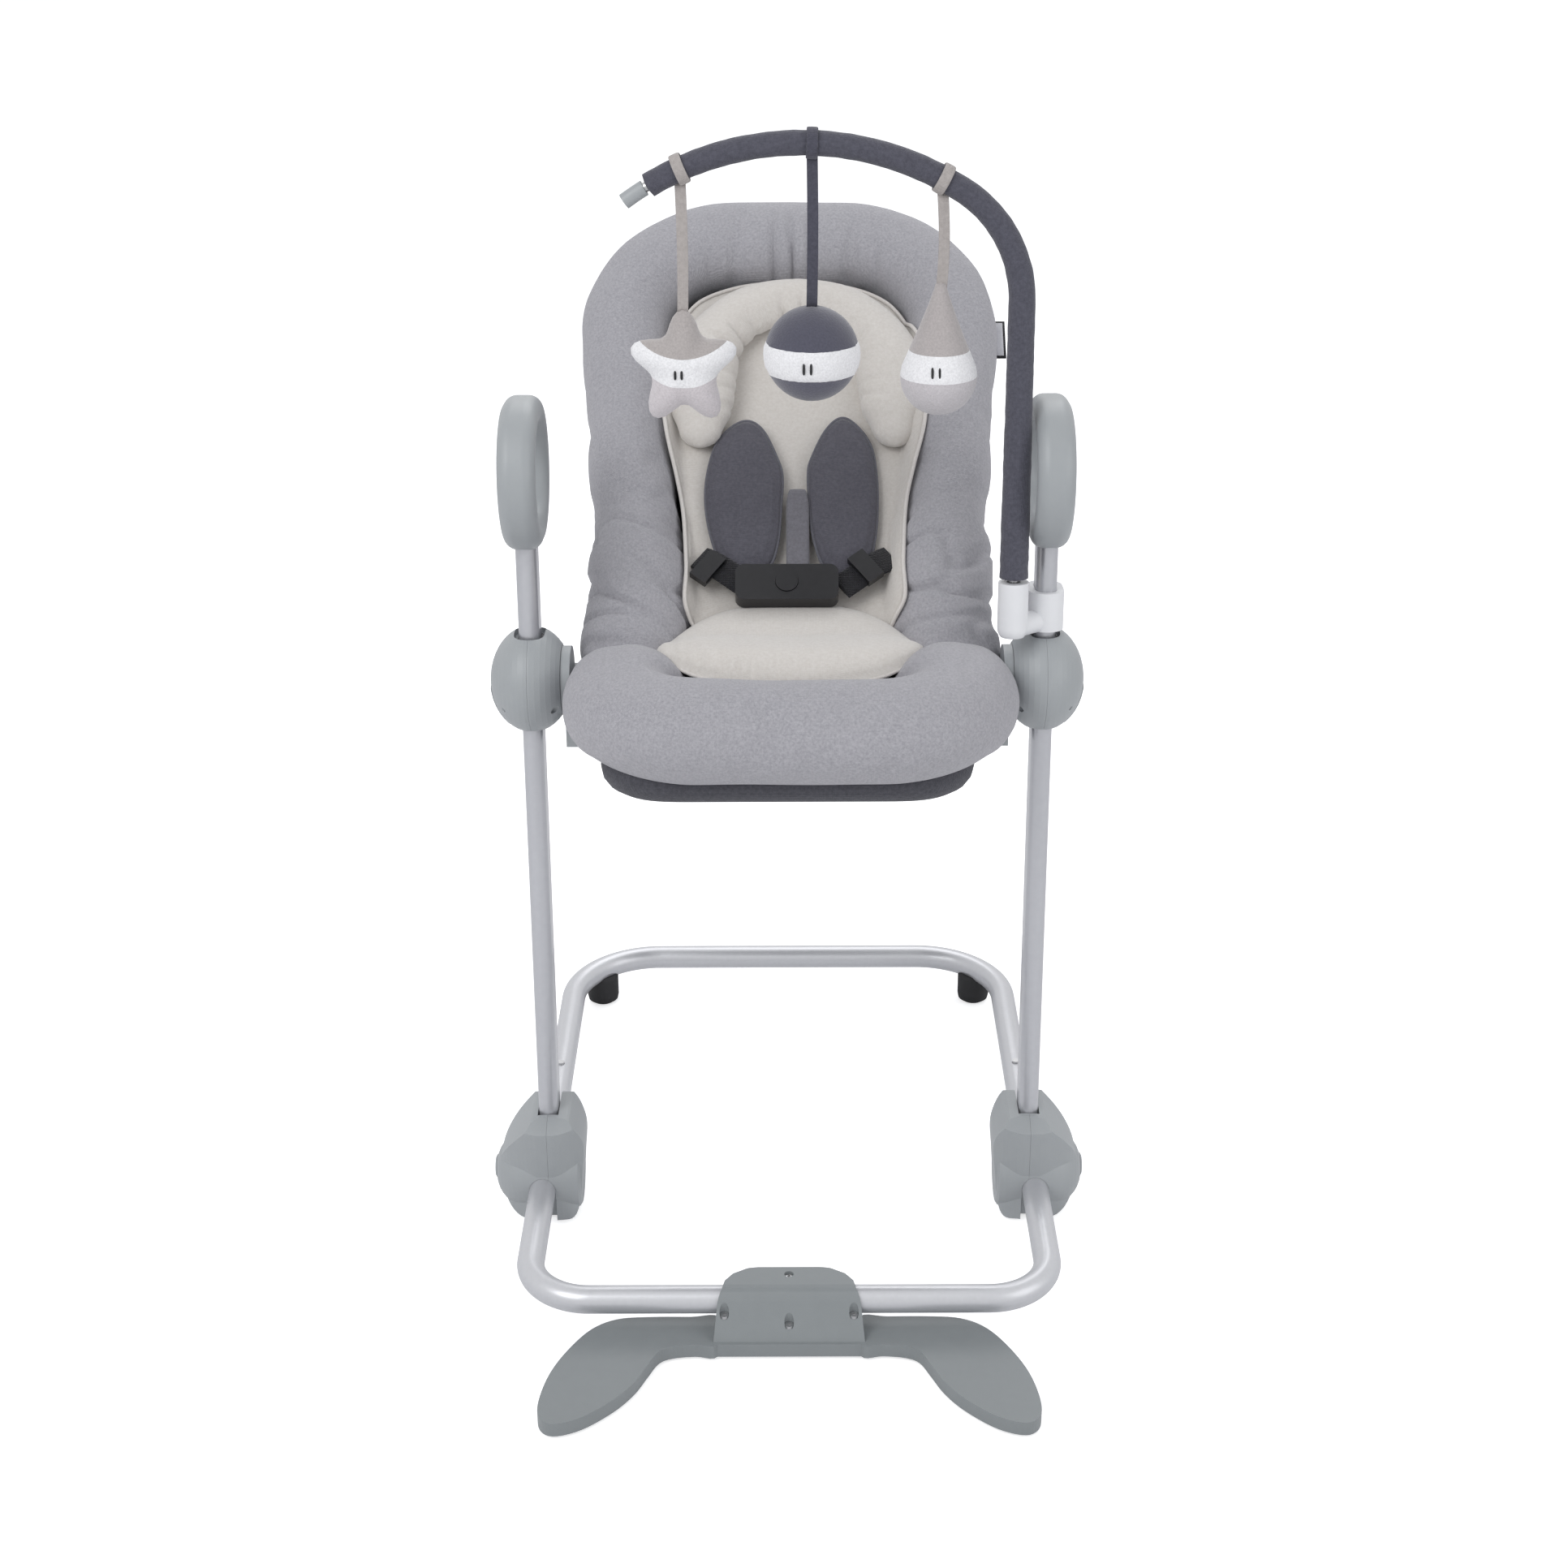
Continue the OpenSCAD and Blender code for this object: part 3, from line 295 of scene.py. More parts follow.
def ring_line(step=0.004):
    """The ring's centre line in the flat, as (x, u) points one step apart."""
    line = []
    for k in range(int((END_W - FRONT_CORNER) / step)):
        line.append((k * step, FRONT_U))
    turns = int(FRONT_CORNER * math.pi / 2 / step)
    for k in range(turns):
        a = -math.pi / 2 + k * math.pi / 2 / turns
        line.append((END_W - FRONT_CORNER * (1 - math.cos(a)), FRONT_U + FRONT_CORNER * (1 + math.sin(a))))
    rise = HEAD_U - HEAD_CORNER - FRONT_U - FRONT_CORNER
    for k in range(int(rise / step)):
        line.append((END_W, FRONT_U + FRONT_CORNER + k * rise / int(rise / step)))
    turns = int(HEAD_CORNER * math.pi / 2 / step)
    for k in range(turns):
        a = k * math.pi / 2 / turns
        line.append((END_W - HEAD_CORNER * (1 - math.cos(a)), HEAD_U - HEAD_CORNER * (1 - math.sin(a))))
    for k in range(int((END_W - HEAD_CORNER) / step), 0, -1):
        line.append((k * step, HEAD_U))
    return line + [(0, HEAD_U)] + [(-x, u) for x, u in line[:0:-1]]


def apply_all(obj):
    bpy.ops.object.select_all(action="DESELECT")
    obj.select_set(True)
    bpy.context.view_layer.objects.active = obj
    for modifier in list(obj.modifiers):
        bpy.ops.object.modifier_apply(modifier=modifier.name)


def out_faces(obj):
    """Turns the faces outward and shades them smooth."""
    bpy.ops.object.mode_set(mode="EDIT")
    bpy.ops.mesh.select_all(action="SELECT")
    bpy.ops.mesh.normals_make_consistent(inside=False)
    bpy.ops.object.mode_set(mode="OBJECT")
    bpy.ops.object.shade_smooth()
    return obj


def closed_tube(name, centre, section, around=160, sides=24):
    """A roll along a closed line. centre(t) gives the point, its outward side and its normal;
    section(t, a) gives how far out and how far up the skin is at angle a round the roll."""
    bpy.ops.object.select_all(action="DESELECT")
    bpy.ops.mesh.primitive_torus_add(major_segments=around, minor_segments=sides,
                                     major_radius=2, minor_radius=1)
    made = bpy.context.object
    made.name = name
    for v in made.data.vertices:
        t = (math.atan2(v.co.y, v.co.x) / math.tau) % 1
        a = math.atan2(v.co.z, math.hypot(v.co.x, v.co.y) - 2)
        middle, side, up = centre(t)
        out, rise = section(t, a)
        v.co = middle + side * out + up * rise
    return out_faces(made)


def stuff(obj, voxel, cap, pressure=4.0, spare=0.0, held=None):
    """Blows a sewn cover up from inside as cloth, and caps how far its skin moves."""
    bpy.ops.object.select_all(action="DESELECT")
    obj.select_set(True)
    bpy.context.view_layer.objects.active = obj
    remesh = obj.modifiers.new("remesh", "REMESH")
    remesh.mode = "VOXEL"
    remesh.voxel_size = voxel
    bpy.ops.object.modifier_apply(modifier="remesh")
    start = [v.co.copy() for v in obj.data.vertices]
    cloth = obj.modifiers.new("stuffing", "CLOTH")
    cloth.settings.quality = 4
    cloth.settings.mass = 0.3
    cloth.settings.tension_stiffness = 12
    cloth.settings.compression_stiffness = 12
    cloth.settings.bending_stiffness = 0.6
    cloth.settings.use_pressure = True
    cloth.settings.uniform_pressure_force = pressure
    cloth.settings.effector_weights.gravity = 0
    cloth.settings.shrink_min = -spare
    if held:
        group = obj.vertex_groups.new(name="sewn")
        for v in obj.data.vertices:
            if held(v.co):
                group.add([v.index], 1.0, "REPLACE")
        cloth.settings.vertex_group_mass = "sewn"
    for step in range(1, 21):
        bpy.context.scene.frame_set(step)
    bpy.ops.object.modifier_apply(modifier="stuffing")
    bpy.context.scene.frame_set(1)
    for v, was in zip(obj.data.vertices, start):
        moved = v.co - was
        if moved.length > cap:
            v.co = was + moved * (cap / moved.length)
    obj.vertex_groups.clear()
    smooth = obj.modifiers.new("smooth", "SMOOTH")
    smooth.factor = 0.4
    smooth.iterations = 2
    fine = obj.modifiers.new("fine", "SUBSURF")
    fine.levels = fine.render_levels = 1
    apply_all(obj)
    bpy.ops.object.shade_smooth()
    return obj


def crumple(obj, depth):
    """Presses the sewn gathers and folds into a skin: depth(x, u, n) is how far in."""
    normals = [v.normal.copy() for v in obj.data.vertices]
    for v, normal in zip(obj.data.vertices, normals):
        v.co -= normal * depth(*seat_place(v.co))
    return obj


ring_path = ring_line()


def on_path(t, place):
    """The point place(x, u) gives at the part t of the way round the ring, with its outward
    side and its normal."""
    count = len(ring_path)
    k = t * count
    i = int(k) % count
    before, here, after, ahead = (place(*ring_path[(i + j) % count]) for j in (-2, 0, 1, 3))
    s = slope(ring_path[i][1])
    up = Vector((0, -math.sin(s), math.cos(s)))
    return here.lerp(after, k - int(k)), (ahead - before).normalized().cross(up).normalized(), up


def ring_place(x, u):
    """The roll's centre line, which dips a little at the knees."""
    drop = 0.005 * max(0, min(1, (0.02 - u) / 0.12))
    return seat_point(x * half_w(u) / END_W + RING_X, u, -drop)


def on_ring(t):
    return on_path(t, ring_place)


def ring_section(t, a):
    """The roll's skin, fuller inside its front corners and pinched just above them."""
    x, u = ring_path[int(t * len(ring_path)) % len(ring_path)]
    full = ring_r(u)
    corner = math.exp(-((u + 0.090) / 0.045) ** 2) * max(0, -math.cos(a)) * min(1, abs(x) / 0.13) ** 2
    pinch = math.exp(-((u + 0.030) / 0.013) ** 2) * max(0, math.sin(a) + 0.25)
    full += 0.026 * corner - 0.012 * pinch * min(1, abs(x) / 0.1)
    return full * math.cos(a), full * math.sin(a)


def ring_folds(x, u, n):
    """Gathers over the head, and loose folds at both hips."""
    head = max(0, 1 - abs(u - 0.420) / 0.050) ** 0.7 * max(0, 1 - abs(x - 0.01) / 0.10)
    pleat = max(0, math.sin(x * 250 + 2.0 * math.sin(x * 70 + u * 14))) ** 2
    gather = 0.0075 * pleat * head * max(0, min(1, (n + 0.01) / 0.02))
    hip = math.exp(-((u - 0.055) / 0.07) ** 2) * min(1, abs(x) / 0.1)
    loose = noise.noise(Vector((x * 13 + u * 9, u * 34 - abs(x) * 16, n * 9)))
    fold = 0.0060 * hip * max(0, 1 - abs(loose) * 5)
    taut = noise.noise(Vector((x * 16, u * 20, n * 14 + 4))) * 0.0016
    return gather + fold + taut


WAVE_PITCH = 0.314     # scale of a wave texture whose bands lie one metre apart


def cloth_finish(name, colour, colour_2, thread, heather, rough, bump, sheen):
    """Woven or knitted cloth: crossing threads of two close colours, drawn about twice
    as coarse as they are so that they show, with slubs where the yarn is thicker."""
    made = bpy.data.materials.new(name)
    made.use_nodes = True
    tree = made.node_tree
    tree.nodes.clear()
    at = add_node(tree, "ShaderNodeTexCoord").outputs["Object"]
    bands = [add_node(tree, "ShaderNodeTexWave",
                      {"Vector": at, "Scale": WAVE_PITCH / thread, "Distortion": 0.6, "Detail": 1.0,
                       "Detail Scale": 2.0}, bands_direction=direction).outputs["Fac"]
             for direction in "XZY"]
    cross = add_node(tree, "ShaderNodeMath", {0: bands[0], 1: bands[1]}, operation="MULTIPLY").outputs[0]
    cross = add_node(tree, "ShaderNodeMath", {0: cross, 1: bands[2]}, operation="ADD").outputs[0]
    yarn = add_node(tree, "ShaderNodeTexNoise", {"Vector": at, "Scale": 1 / heather, "Detail": 4.0,
                                                 "Roughness": 0.7}).outputs["Fac"]
    mixed = add_node(tree, "ShaderNodeMapRange",
                     {"Value": yarn, "From Min": 0.34, "From Max": 0.66}).outputs[0]
    tone = two_tone(tree, mixed, colour, colour_2)
    height = add_node(tree, "ShaderNodeMath", {0: cross, 1: yarn}, operation="ADD").outputs[0]
    rise = add_node(tree, "ShaderNodeBump", {"Height": height, "Strength": bump, "Distance": 0.0006})
    shader = add_node(tree, "ShaderNodeBsdfPrincipled",
                      {"Base Color": tone.outputs[MIX_OUT], "Normal": rise.outputs[0], "Roughness": rough,
                       "Sheen Weight": sheen, "Sheen Roughness": 0.5, "Specular IOR Level": 0.25})
    add_node(tree, "ShaderNodeOutputMaterial", {"Surface": shader.outputs[0]})
    return made


# Heather jersey: two greys of yarn in a soft knit.
heather_jersey = cloth_finish("heather_jersey", "#9a999f", "#b3b2b7", 0.0011, 0.0022, 0.85, 0.35, 0.25)


def under_ring(co):
    """Points on the roll's underside, where the cover is sewn to the hammock."""
    return seat_place(co)[2] < -0.033


def wear(obj, material, body, replaced=()):
    """Finish and body of a new piece; hides the carried-over pieces it replaces."""
    obj.data.materials.clear()
    obj.data.materials.append(material)
    if replaced:
        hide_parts(*replaced)
    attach(obj, body)


ring = closed_tube("padded_ring", on_ring, ring_section, around=220, sides=32)
stuff(ring, 0.006, 0.006, spare=0.02, held=under_ring)
crumple(ring, ring_folds)
wear(ring, heather_jersey, "seat", ["seat_ring"])

# ---------------------------------------------------------------------------
# Underside: dark woven cloth. A sleeve of it runs round the frame tube, and the
# hammock is stretched between the sleeve's two sides.
# ---------------------------------------------------------------------------
# Plain dark woven polyester.
dark_cloth = cloth_finish("dark_woven_cloth", "#45454b", "#55555c", 0.0012, 0.003, 0.9, 0.4, 0.15)
FRAME_R = 0.0082       # over the bare frame tube, where the arms clasp it
FRAME_N = -0.0515      # the frame tube's centre line under the roll


def sleeve_section(t, a):
    """Cloth on the tube, bare at the arms, and fuller under the knees."""
    u = ring_path[int(t * len(ring_path)) % len(ring_path)][1]
    cover = min(1, max(0, (abs(u + 0.01) - 0.026) / 0.008))
    knees = max(0, min(1, (-0.05 - u) / 0.06))
    r = FRAME_R + 0.0033 * cover + 0.009 * knees
    return r * math.cos(a), r * math.sin(a) + 0.001 * cover + 0.001 * knees


def frame_place(x, u):
    """The frame tube's centre line under the roll, which keeps to the bare tube's own path."""
    u = steps(u, [(FRONT_U, FRONT_U + 0.008), (0, 0), (0.2, 0.2), (HEAD_U, HEAD_U - 0.012)])
    flare = 0.136 + 0.014 * min(1, (u / (HEAD_U - 0.072) if u > 0 else u / 0.124) ** 2)
    return seat_point(x / END_W * flare, u, FRAME_N)


def on_frame(t):
    return on_path(t, frame_place)


sleeve = closed_tube("frame_sleeve", on_frame, sleeve_section, around=260, sides=16)
wear(sleeve, dark_cloth, "seat", ["seat_frame"])


def block(name, cuts, place):
    """A closed block, cut into a grid, whose skin place(a, b, c) puts where it belongs;
    a, b and c run from -1 to 1 over the block."""
    bpy.ops.object.select_all(action="DESELECT")
    bpy.ops.mesh.primitive_cube_add(size=2)
    made = bpy.context.object
    made.name = name
    bpy.ops.object.mode_set(mode="EDIT")
    bpy.ops.mesh.select_all(action="SELECT")
    bpy.ops.mesh.subdivide(number_cuts=cuts)
    bpy.ops.object.mode_set(mode="OBJECT")
    for v in made.data.vertices:
        v.co = place(*v.co)
    return out_faces(made)


def hammock_place(a, b, c):
    u = FRONT_U + 0.012 + (b + 1) / 2 * (HEAD_U - FRONT_U - 0.026)
    near_end = max(0, abs(b) - 0.8) / 0.2
    w = (half_w(u) - 0.004) * math.sqrt(1 - 0.55 * near_end ** 2)
    sag = -0.004 * (1 - a * a) * (1 - b * b)
    return seat_point(a * w, u, -0.0465 + sag + 0.0009 * c + 0.022 * (1 - a ** 4) * (1 - near_end))


hammock = block("hammock_cloth", 30, hammock_place)
wear(hammock, dark_cloth, "seat", ["seat_hammock"])

# ---------------------------------------------------------------------------
# Back pad: a quilted beige panel, egg-shaped, whose piped edge lies up on the
# ring's inner side. It is thin at the hips and full behind the head.
# ---------------------------------------------------------------------------
# Cotton velour, matt with a soft sheen, and the satin cord of its piping.
beige_velour = cloth_finish("beige_velour", "#cfcac4", "#d9d5d0", 0.0010, 0.0030, 0.9, 0.25, 0.5)
pale_piping = cloth_finish("beige_piping", "#d6d1cc", "#e0dcd8", 0.0009, 0.0020, 0.8, 0.3, 0.3)


def smooth_loop(points, count=160):
    """A closed smooth line through a few points, as count points."""
    line = []
    m = len(points)
    for k in range(count):
        f = k / count * m
        i = int(f)
        t = f - i
        a, b, c, d = (Vector(points[(i + j) % m]) for j in (-1, 0, 1, 2))
        line.append(0.5 * (2 * b + (c - a) * t + (2 * a - 5 * b + 4 * c - d) * t * t
                           + (3 * b - a - 3 * c + d) * t ** 3))
    return line


def sewn_pad(name, outline, middle, cuts, height):
    """A pad inside a closed outline of (x, u) points; height(x, u, m, c) is how high its skin is,
    for c from -1 below to 1 above and m from 0 in the middle to 1 at the edge."""
    middle = Vector(middle)
    turns = sorted((math.atan2(p.y - middle.y, p.x - middle.x), (p - middle).length) for p in outline)

    def reach(a):
        low, high = 0, len(turns) - 1
        if a <= turns[0][0] or a >= turns[-1][0]:
            (a0, r0), (a1, r1) = turns[-1], turns[0]
            k = ((a - a0) % math.tau) / ((a1 - a0) % math.tau)
            return r0 + (r1 - r0) * k
        while high - low > 1:
            half = (low + high) // 2
            low, high = (half, high) if turns[half][0] <= a else (low, half)
        (a0, r0), (a1, r1) = turns[low], turns[high]
        return r0 + (r1 - r0) * (a - a0) / max(a1 - a0, 1e-9)

    def place(a, b, c):
        m = max(abs(a), abs(b))
        turn = math.atan2(b, a)
        far = reach(turn) * m
        x, u = middle.x + far * math.cos(turn), middle.y + far * math.sin(turn)
        return seat_point(x, u, height(x, u, m, c))
    return block(name, cuts, place)


def piping(name, outline, height, radius, material, body):
    """A cord sewn into a seam: a thin round roll along a pad's outline."""
    points = [seat_point(p.x, p.y, height(p.x, p.y)) for p in outline]
    count = len(points)

    def centre(t):
        k = t * count
        i = int(k) % count
        along = (points[(i + 2) % count] - points[i - 1]).normalized()
        s = slope(outline[i].y)
        up = Vector((0, -math.sin(s), math.cos(s)))
        side = along.cross(up).normalized()
        return points[i].lerp(points[(i + 1) % count], k - int(k)), side, side.cross(along).normalized()
    made = closed_tube(name, centre, lambda t, a: (radius * math.cos(a), radius * math.sin(a)),
                       around=count, sides=8)
    wear(made, material, body)
    return made


def ring_top(x, u):
    """How high the ring's inner side stands above the seat at x, u, or 0 beside it."""
    off = half_w(u) - abs(x - RING_X)
    if u > HEAD_U - HEAD_CORNER:
        across = max(0, abs(x - RING_X) - (END_W - HEAD_CORNER))
        off = min(off, HEAD_CORNER - math.hypot(across, u - HEAD_U + HEAD_CORNER))
    r = ring_r(u)
    return math.sqrt(max(0, r * r - off * off)) if off < r else 0.0


PAD_EDGE = smooth_loop([(0.010, 0.405), (0.062, 0.398), (0.100, 0.374), (0.123, 0.330), (0.130, 0.280),
                        (0.127, 0.225), (0.116, 0.180), (0.108, 0.140), (0.104, 0.080), (0.102, 0.030),
                        (0.070, 0.012), (0.008, 0.008), (-0.056, 0.012), (-0.088, 0.030), (-0.090, 0.080),
                        (-0.094, 0.140), (-0.101, 0.180), (-0.111, 0.225), (-0.116, 0.280), (-0.109, 0.330),
                        (-0.086, 0.376), (-0.043, 0.400)], 220)


def pad_top(x, u):
    return max(0.007 + 0.005 * min(1, abs(x - 0.008) / 0.09) ** 3, ring_top(x, u) + 0.004)


def pad_height(x, u, m, c):
    quilt = noise.noise(Vector((x * 26, u * 20, 1.7))) * 0.0022 * (1 - m ** 3)
    return pad_top(x, u) + quilt + (c - 1) * (0.0012 + 0.006 * (1 - m ** 6))


back_pad = sewn_pad("back_pad_cover", PAD_EDGE, (0.009, 0.22), 46, pad_height)
wear(back_pad, beige_velour, "seat", ["back_pad"])
piping("back_pad_piping", PAD_EDGE, lambda x, u: pad_top(x, u) + 0.0006, 0.0019, pale_piping, "seat")

# ---------------------------------------------------------------------------
# Seat cushion: a plump half-moon of the same velour. Its front seam is gathered,
# so short puckers run back from it on the left.
# ---------------------------------------------------------------------------
CUSHION_EDGE = smooth_loop([(0.004, 0.050), (0.052, 0.045), (0.088, 0.024), (0.112, -0.014), (0.121, -0.048),
                            (0.090, -0.084), (0.050, -0.098), (0.004, -0.102), (-0.044, -0.098),
                            (-0.084, -0.084), (-0.115, -0.050), (-0.105, -0.014), (-0.080, 0.024),
                            (-0.044, 0.045)], 180)


def cushion_edge(x, u):
    return 0.006 + 0.012 * min(1, abs(x - 0.004) / 0.112) ** 2 + 0.008 * max(0, min(1, (-0.02 - u) / 0.05))


def cushion_height(x, u, m, c):
    crown = math.sqrt(max(0, 1 - m ** 2.6))
    if c < 0:
        return cushion_edge(x, u) + c * 0.013 * crown
    left = max(0, min(1, (0.03 - x) / 0.05)) * max(0, min(1, (-0.005 - u) / 0.03))
    pucker = 0.0042 * max(0, math.sin(x * 420 + 1.5 * math.sin(x * 150))) * left * max(0, (m - 0.68) / 0.32)
    return cushion_edge(x, u) + c * (0.027 * crown - pucker * (1 - m ** 16))


cushion = sewn_pad("seat_cushion_cover", CUSHION_EDGE, (0.004, -0.034), 60, cushion_height)
wear(cushion, beige_velour, "seat", ["seat_cushion"])
piping("seat_cushion_piping", CUSHION_EDGE, cushion_edge, 0.0016, pale_piping, "seat")

# ---------------------------------------------------------------------------
# Head hugger: a horseshoe roll of beige velour, stuffed, sewn to the back pad
# round the head. It is broad at the cheeks, gathered at its inner seam over the
# top, and its ends run out to a point.
# ---------------------------------------------------------------------------


def open_roll(name, line, radius, sides=24, rings=72, flat=1.0):
    """A roll along an open line with closed round ends: line(s) for s from -1 to 1 gives
    the point, its side and its normal, and radius(s) the roll's radius."""
    bpy.ops.object.select_all(action="DESELECT")
    bpy.ops.mesh.primitive_uv_sphere_add(segments=sides, ring_count=rings, radius=1)
    made = bpy.context.object
    made.name = name
    for v in made.data.vertices:
        s = math.asin(max(-1, min(1, v.co.z))) / (math.pi / 2)
        a = math.atan2(v.co.y, v.co.x)
        middle, side, up = line(s)
        r = radius(s)
        v.co = middle + side * (r * math.cos(a)) + up * (r * math.sin(a) * flat)
    return out_faces(made)


HUG_X = 0.010
HUG_W = 0.088
HUG_U = 0.282
HUG_LEG = 0.074
HUG_N = 0.022


def hug_point(s):
    """Centre line: a flattened arch over the head, then a leg down each cheek."""
    arc = math.pi * HUG_W / 2
    d = abs(s) * (arc + HUG_LEG)
    if d < arc:
        a = d / HUG_W
        x, u = HUG_W * math.sin(a), HUG_U + HUG_W * math.cos(a) * 1.02
    else:
        k = (d - arc) / HUG_LEG
        x, u = HUG_W + 0.004 * k, HUG_U - (d - arc)
    return seat_point(math.copysign(x, s) + HUG_X, u, HUG_N)


def hug_line(s):
    along = (hug_point(min(1, s + 0.01)) - hug_point(max(-1, s - 0.01))).normalized()
    up = Vector((0, -math.sin(BACK_ANGLE), math.cos(BACK_ANGLE)))
    return hug_point(s), along.cross(up).normalized(), up


def hug_radius(s):
    full = steps(abs(s), [(0.0, 0.0235), (0.3, 0.027), (0.6, 0.033), (0.78, 0.030), (0.92, 0.020),
                          (1.0, 0.010)])
    return full * math.sqrt(max(0, 1 - max(0, (abs(s) - 0.94) / 0.06) ** 2)) + 0.00001


def hug_folds(x, u, n):
    """Gathers at the inner seam, over the top and at the left cheek."""
    x -= HUG_X
    away = math.hypot(x, u - HUG_U)
    turn = math.atan2(x, u - HUG_U)
    inner = max(0, 1 - abs(away - 0.068) / 0.024)
    where = math.exp(-((turn - 0.05) / 0.35) ** 2) + math.exp(-((turn + 1.15) / 0.3) ** 2) + 0.25
    return 0.0060 * inner * where * max(0, math.sin(turn * 20 + 1.4 * math.sin(turn * 7))) ** 2


hugger = open_roll("head_roll", hug_line, hug_radius, flat=0.66)
stuff(hugger, 0.0045, 0.005, spare=0.02)
crumple(hugger, hug_folds)
wear(hugger, beige_velour, "seat", ["head_hugger"])

# ---------------------------------------------------------------------------
# Harness: two padded shoulder covers in dark grey with a piped edge, a narrow
# crotch strap cover between them, a black buckle and black waist webbing.
# ---------------------------------------------------------------------------
# Brushed dark grey cloth, with a lighter piping.
harness_cloth = cloth_finish("harness_cloth", "#504f57", "#5d5c65", 0.0010, 0.0030, 0.88, 0.3, 0.2)
harness_piping = cloth_finish("harness_piping", "#5f5f67", "#6d6d75", 0.0009, 0.0020, 0.8, 0.3, 0.2)
COVER_N = 0.0165

for name, where, points in (
        ("left", (-0.038, 0.145),
         [(-0.067, 0.208), (-0.054, 0.230), (-0.037, 0.240), (-0.022, 0.230), (-0.009, 0.200),
          (-0.004, 0.180), (-0.005, 0.150), (-0.008, 0.109), (-0.017, 0.081), (-0.038, 0.069),
          (-0.057, 0.082), (-0.070, 0.122), (-0.074, 0.165)]),
        ("right", (0.055, 0.145),
         [(0.079, 0.208), (0.067, 0.232), (0.052, 0.243), (0.037, 0.230), (0.023, 0.198), (0.020, 0.180),
          (0.021, 0.150), (0.024, 0.115), (0.034, 0.082), (0.053, 0.066), (0.070, 0.076), (0.080, 0.112),
          (0.083, 0.165)])):
    edge = smooth_loop(points, 120)

    def cover_height(x, u, m, c):
        quilt = noise.noise(Vector((x * 50, u * 36, 5.0))) * 0.0020 * (1 - m ** 2)
        seam = 0.0016 * math.exp(-((m - 0.86) / 0.04) ** 2)
        return COVER_N + c * (0.0012 + 0.0072 * (1 - m ** 6) ** 0.5 - seam) + quilt

    cover = sewn_pad(f"shoulder_cover_{name}", edge, where, 34, cover_height)
    wear(cover, harness_cloth, "seat", [f"shoulder_pad_{name}"])
    piping(f"shoulder_piping_{name}", edge, lambda x, u: COVER_N + 0.001, 0.0015, harness_piping, "seat")

# The same cloth, paler.
grey_strap = cloth_finish("grey_strap_cover", "#6a696f", "#77767d", 0.0010, 0.0030, 0.88, 0.3, 0.2)


def crotch_place(a, b, c):
    crown = math.sqrt(max(0, 1 - a ** 4))
    w = 0.0105 * (1 - 0.25 * max(0, b) ** 6)
    n = 0.0195 + c * (0.001 + 0.003 * crown) + 0.004 * max(0, -b) ** 2
    return seat_point(0.010 + a * w, 0.118 + b * 0.044, n)


crotch = block("crotch_strap_cover", 20, crotch_place)
wear(crotch, grey_strap, "seat", ["crotch_cover"])

# Polyester webbing: ribs across the strap, drawn at their own 1.6 mm.
black_webbing = cloth_finish("black_webbing", "#17171a", "#25252a", 0.0016, 0.004, 0.7, 0.8, 0.1)
STRAP_TURN = math.radians(38)

for side, name in ((-1, "left"), (1, "right")):
    def strap_place(a, b, c):
        run = 0.060 * (b + 1) / 2
        across = a * 0.0125
        x = 0.040 + run * math.cos(STRAP_TURN) - across * math.sin(STRAP_TURN)
        u = 0.056 + run * math.sin(STRAP_TURN) + across * math.cos(STRAP_TURN)
        drop = 0.008 * max(0, b) ** 2
        return seat_point(side * x + 0.008, u, 0.0262 - drop + 0.0011 * c * (1 - a ** 8 * 0.6))

    strap = block(f"waist_strap_{name}", 18, strap_place)
    wear(strap, black_webbing, "seat", ["waist_webbing"] if side < 0 else ())

# A folded label sewn into the ring's right side: black edge, pale plain middle.
label_cloth = cloth_finish("label_cloth", "#c9c9cf", "#d3d3d8", 0.0008, 0.0020, 0.8, 0.3, 0.1)


def tab_place(grow, thick):
    def place(a, b, c):
        x, u = RING_X + 0.2005 + a * (0.006 + grow), 0.345 + b * (0.021 + grow)
        return seat_point(x, u, -0.002 + c * thick)
    return place


tab = block("side_label", 3, tab_place(0.0, 0.0009))
wear(tab, black_webbing, "seat", ["side_tab"])
label = block("side_label_face", 3, tab_place(-0.0022, 0.0013))
wear(label, label_cloth, "seat")

# ---------------------------------------------------------------------------
# Toy arch: a sprung steel rod in a sleeve of dark slate cloth, fatter at its
# foot, with a grey clip on its free end.
# ---------------------------------------------------------------------------
# Tight slate jersey over foam.
slate_cloth = cloth_finish("slate_sleeve_cloth", "#4b4b55", "#5a5a65", 0.0012, 0.0030, 0.85, 0.35, 0.2)
swivel = next(j for j in frame["joints"] if j["name"] == "arch_swivel")
arch_foot = Vector(swivel["pos_m"])
arch_up = Vector(swivel["axis"]).normalized()
ARCH_H = 0.275
ARCH_R1 = 0.105
ARCH_R2 = 0.246
ARCH_MID = 0.006
ARCH_TURN = math.radians(60)
ARCH_END = math.radians(120.5)
SLEEVE_LOW = 0.041


